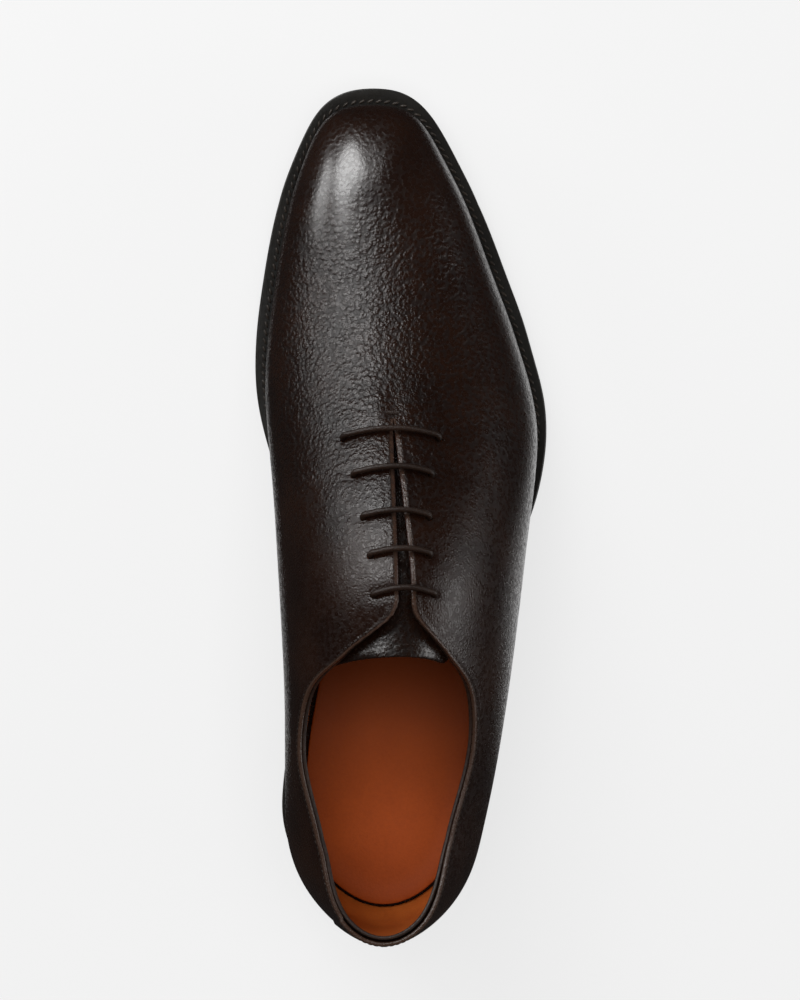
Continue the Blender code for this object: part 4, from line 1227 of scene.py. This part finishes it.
def stitch_tree():
    """Small lens-shaped stitches along a path, each turned a little from it."""
    sizes = {"Spacing": 0.0022, "Length": 0.0017, "Thickness": 0.00028, "Slant": 0.0}
    tree, given, out, curve = geometry_tree("stitches_along_path", sizes)
    even = add_node(tree, "GeometryNodeResampleCurve", {"Curve": curve, "Length": given["Spacing"]},
                    mode="LENGTH")
    thread = add_node(tree, "GeometryNodeMeshUVSphere", {"Segments": 8, "Rings": 5, "Radius": 0.5})
    shape = add_node(tree, "ShaderNodeCombineXYZ", {
        "X": given["Length"], "Y": given["Thickness"], "Z": given["Thickness"]})
    tangent = add_node(tree, "GeometryNodeInputTangent", {})
    align = add_node(tree, "FunctionNodeAlignRotationToVector", {"Vector": tangent.outputs["Tangent"]},
                     axis="X")
    turn = add_node(tree, "FunctionNodeAxisAngleToRotation", {"Angle": given["Slant"]})
    slant = add_node(tree, "FunctionNodeRotateRotation", {
        "Rotation": align.outputs["Rotation"], "Rotate By": turn.outputs["Rotation"]},
                     rotation_space="LOCAL")
    place = add_node(tree, "GeometryNodeInstanceOnPoints", {
        "Points": even.outputs["Curve"], "Instance": thread.outputs["Mesh"],
        "Rotation": slant.outputs["Rotation"], "Scale": shape.outputs[0]})
    return end_tree(tree, given, out, place.outputs["Instances"])


CORD_TREE, STITCH_TREE = cord_tree(), stitch_tree()


def grow(name, paths, tree, finish, **sizes):
    """Runs a tree on the paths and keeps the plain mesh that it makes. Its sizes are in metres."""
    piece = path_object(name, paths)
    modifier = piece.modifiers.new(tree.name, "NODES")
    modifier.node_group = tree
    names = {item.name: item.identifier for item in tree.interface.items_tree if item.in_out == "INPUT"}
    for title, value in {**sizes, "Finish": finish}.items():
        modifier[names[title]] = value
    plain_mesh(piece)
    return piece


lace = grow("lace_cord", [resample(lace_path(), LACE_STEP)], CORD_TREE, LACE_COTTON,
            Radius=LACE_RADIUS * MM)
finish_piece(lace, LACE_COTTON, "lace_cotton", "lace")

# %% [markdown]
# ## Stitches
# A row of stitches holds the folded edge of the facings and the topline, a short tack closes the
# slit's end, two rows cross the tongue's end, and the welt carries its heavy row all round the
# forepart. They all come from one tree: it spaces points evenly on a path and lays a small thread
# on each.

# %% Stitch rows
ROW_FROM_EDGE, ROW_LIFT, ROW_STEP, ROW_START, ROW_STOP = 1.9, 0.02, 0.06, 0.05, 0.25
TACK_BEYOND, TACK_HALF, TACK_LIFT, TACK_POINTS, SQUARE_ACROSS = 1.9, 1.9, 0.12, 9, 1.57
WELT_ROW_SHARE, WELT_ROW_START, WELT_ROW_LIFT = 0.42, 0.4, 0.05
TONGUE_ROW_INSETS, TONGUE_ROW_HALF, TONGUE_ROW_POINTS, TONGUE_ROW_DEPTH = (1.8, 3.6), 0.93, 60, 0.22


def edge_rows():
    """A path along the upper's edge on each side, from the heel to near the slit's end."""
    u = np.arange(ROW_START, VAMP_SECTION - ROW_STOP, ROW_STEP)
    paths = []
    for t in (u, LOOP - u):
        q = q_below_edge(t, top_q(t), ROW_FROM_EDGE)
        base = surface(t, q)
        raised = relief(t[:, None], base[:, None], np.full((len(t), 1), ROW_FROM_EDGE))
        paths.append(base + normal(t, q) * (raised + ROW_LIFT))
    return paths


def tack_row():
    """The short bar that closes the slit's end, across the ridge."""
    steps = np.linspace(-TACK_HALF, TACK_HALF, TACK_POINTS)
    return [over(VAMP_POINT_Y + TACK_BEYOND, abs(x), x > 0, TACK_LIFT)[0] for x in steps]


def welt_row():
    s = last_at(FRONT_T)
    out = WELT_ROW_SHARE * (s.reach - WELT_INSET) + WELT_ROW_START
    plan = s.feather + out[:, None] * s.away
    return np.column_stack([plan, sole_underside(plan[:, 1]) + WELT_BASE + WELT_THICK + WELT_ROW_LIFT])


def tongue_rows():
    across = np.linspace(-TONGUE_ROW_HALF, TONGUE_ROW_HALF, TONGUE_ROW_POINTS)
    rows = []
    for inset in TONGUE_ROW_INSETS:
        y = TONGUE_END_Y - TONGUE_END_DIP * across ** 2 + inset
        rows.append(tongue_surface(y, across, np.full(y.shape, TONGUE_ROW_DEPTH)))
    return rows


# Each row: its piece, paths, thread and slot, then spacing, length, thickness and slant.
for name, paths, finish, slot, spacing, length, thickness, slant in (
        ("facing_stitches", edge_rows(), THREAD, "upper_leather", 0.0021, 0.0016, 0.00036, 0.0),
        ("vamp_tack", [tack_row()], LACE_COTTON, "upper_leather", 0.00055, 0.0020, 0.00085, SQUARE_ACROSS),
        ("welt_stitches", [welt_row()], WELT_THREAD, "edge_leather", 0.0031, 0.0029, 0.00105, 0.5),
        ("tongue_stitches", tongue_rows(), THREAD, "tongue_leather", 0.002, 0.0015, 0.00034, 0.0)):
    row = grow(name, paths, STITCH_TREE, finish, Spacing=spacing, Length=length, Thickness=thickness,
               Slant=slant)
    finish_piece(row, finish, slot)

# %% [markdown]
# ## Floor, light and camera
# The photograph looks straight down on a pale floor. The main light is a soft one from ahead of the
# toe on the inner side, with a weak one on each flank. The floor itself glows a little, and is left
# out of reflections: one large lamp under it stands for what it would reflect. The camera keeps the
# photograph's angle and comes closer, so that the one shoe fills the frame.

# %% Floor
FLOOR_HALF, FLOOR_GREY, FLOOR_GLOW = 12, 0.15, 0.70
WHITE = (1.0, 1.0, 1.0, 1.0)


def build_floor():
    mesh = bpy.data.meshes.new("floor")
    corners = [(x * FLOOR_HALF, y * FLOOR_HALF, 0) for x, y in ((-1, -1), (1, -1), (1, 1), (-1, 1))]
    mesh.from_pydata(corners, [], [(0, 1, 2, 3)])
    floor = new_object("floor", mesh)
    material = bpy.data.materials.new("pale_floor")
    material.use_nodes = True
    finish = {"Base Color": (FLOOR_GREY, FLOOR_GREY, FLOOR_GREY, 1.0), "Roughness": 0.9,
              "Emission Color": WHITE, "Emission Strength": FLOOR_GLOW, "Specular IOR Level": 0.1}
    for title, value in finish.items():
        material.node_tree.nodes["Principled BSDF"].inputs[title].default_value = value
    mesh.materials.append(material)
    floor.visible_glossy = False


build_floor()

# %% Lights
VAMP, INSTEP = Vector((-0.02, 0.17, 0.045)), Vector((0.03, 0.06, 0.05))
MIDDLE, FOREPART = Vector((0.0, 0.13, 0.0)), Vector((0.16, 0.30, 0.0))
WORLD_STRENGTH = 0.03
# Each lamp: what it faces, the way and the distance from there, its size, watts and what it skips.
SOFTBOXES = (
    ("key_softbox", VAMP, (-0.37, 0.61, 0.70), 1.4, (0.84, 0.56), 12.0, None),
    ("inner_softbox", VAMP, (-0.83, 0.42, 0.37), 0.8, (0.34, 0.24), 1.5, None),
    ("outer_low_softbox", INSTEP, (0.96, 0.0, 0.25), 0.9, (0.75, 0.34), 2.7, None),
    ("floor_bounce", FOREPART, (0.0, 0.0, -1.0), 0.8, (0.95, 0.8), 2.6, "visible_diffuse"),
    ("overhead_fill", MIDDLE, (0.0, 0.0, 1.0), 2.2, (2.0, 2.0), 48.0, "visible_glossy"),
)


def build_softbox(name, target, way, distance, size, watts, hidden_from):
    light = bpy.data.lights.new(name, "AREA")
    light.shape = "RECTANGLE"
    light.size, light.size_y = size
    light.energy = watts
    lamp = new_object(name, light)
    lamp.location = target + distance * Vector(way).normalized()
    lamp.rotation_euler = (target - lamp.location).to_track_quat("-Z", "Y").to_euler()
    lamp.visible_camera = False
    if hidden_from:
        setattr(lamp, hidden_from, False)


def build_world(strength):
    world = bpy.data.worlds.new("studio")
    bpy.context.scene.world = world
    world.use_nodes = True
    background = world.node_tree.nodes["Background"]
    background.inputs["Color"].default_value = WHITE
    background.inputs["Strength"].default_value = strength


for lamp_row in SOFTBOXES:
    build_softbox(*lamp_row)
build_world(WORLD_STRENGTH)
bpy.context.scene.view_settings.view_transform = "Standard"


# %% Camera
CAMERA_PLACE, CAMERA_TARGET, CAMERA_LENS = (0.0, 0.1416, 0.95), (0.006, 0.118, 0.02), 90.0


def build_camera(place, target, lens):
    data = bpy.data.cameras.new("camera")
    data.lens = lens
    data.clip_start = 0.05
    camera = new_object("camera", data)
    camera.location = place
    aim = Vector(target) - camera.location
    camera.rotation_euler = (math.atan2(aim.y, -aim.z), math.atan2(-aim.x, -aim.z), 0.0)
    bpy.context.scene.camera = camera


build_camera(CAMERA_PLACE, CAMERA_TARGET, CAMERA_LENS)
bpy.data.objects.remove(CUTTER, do_unlink=True)
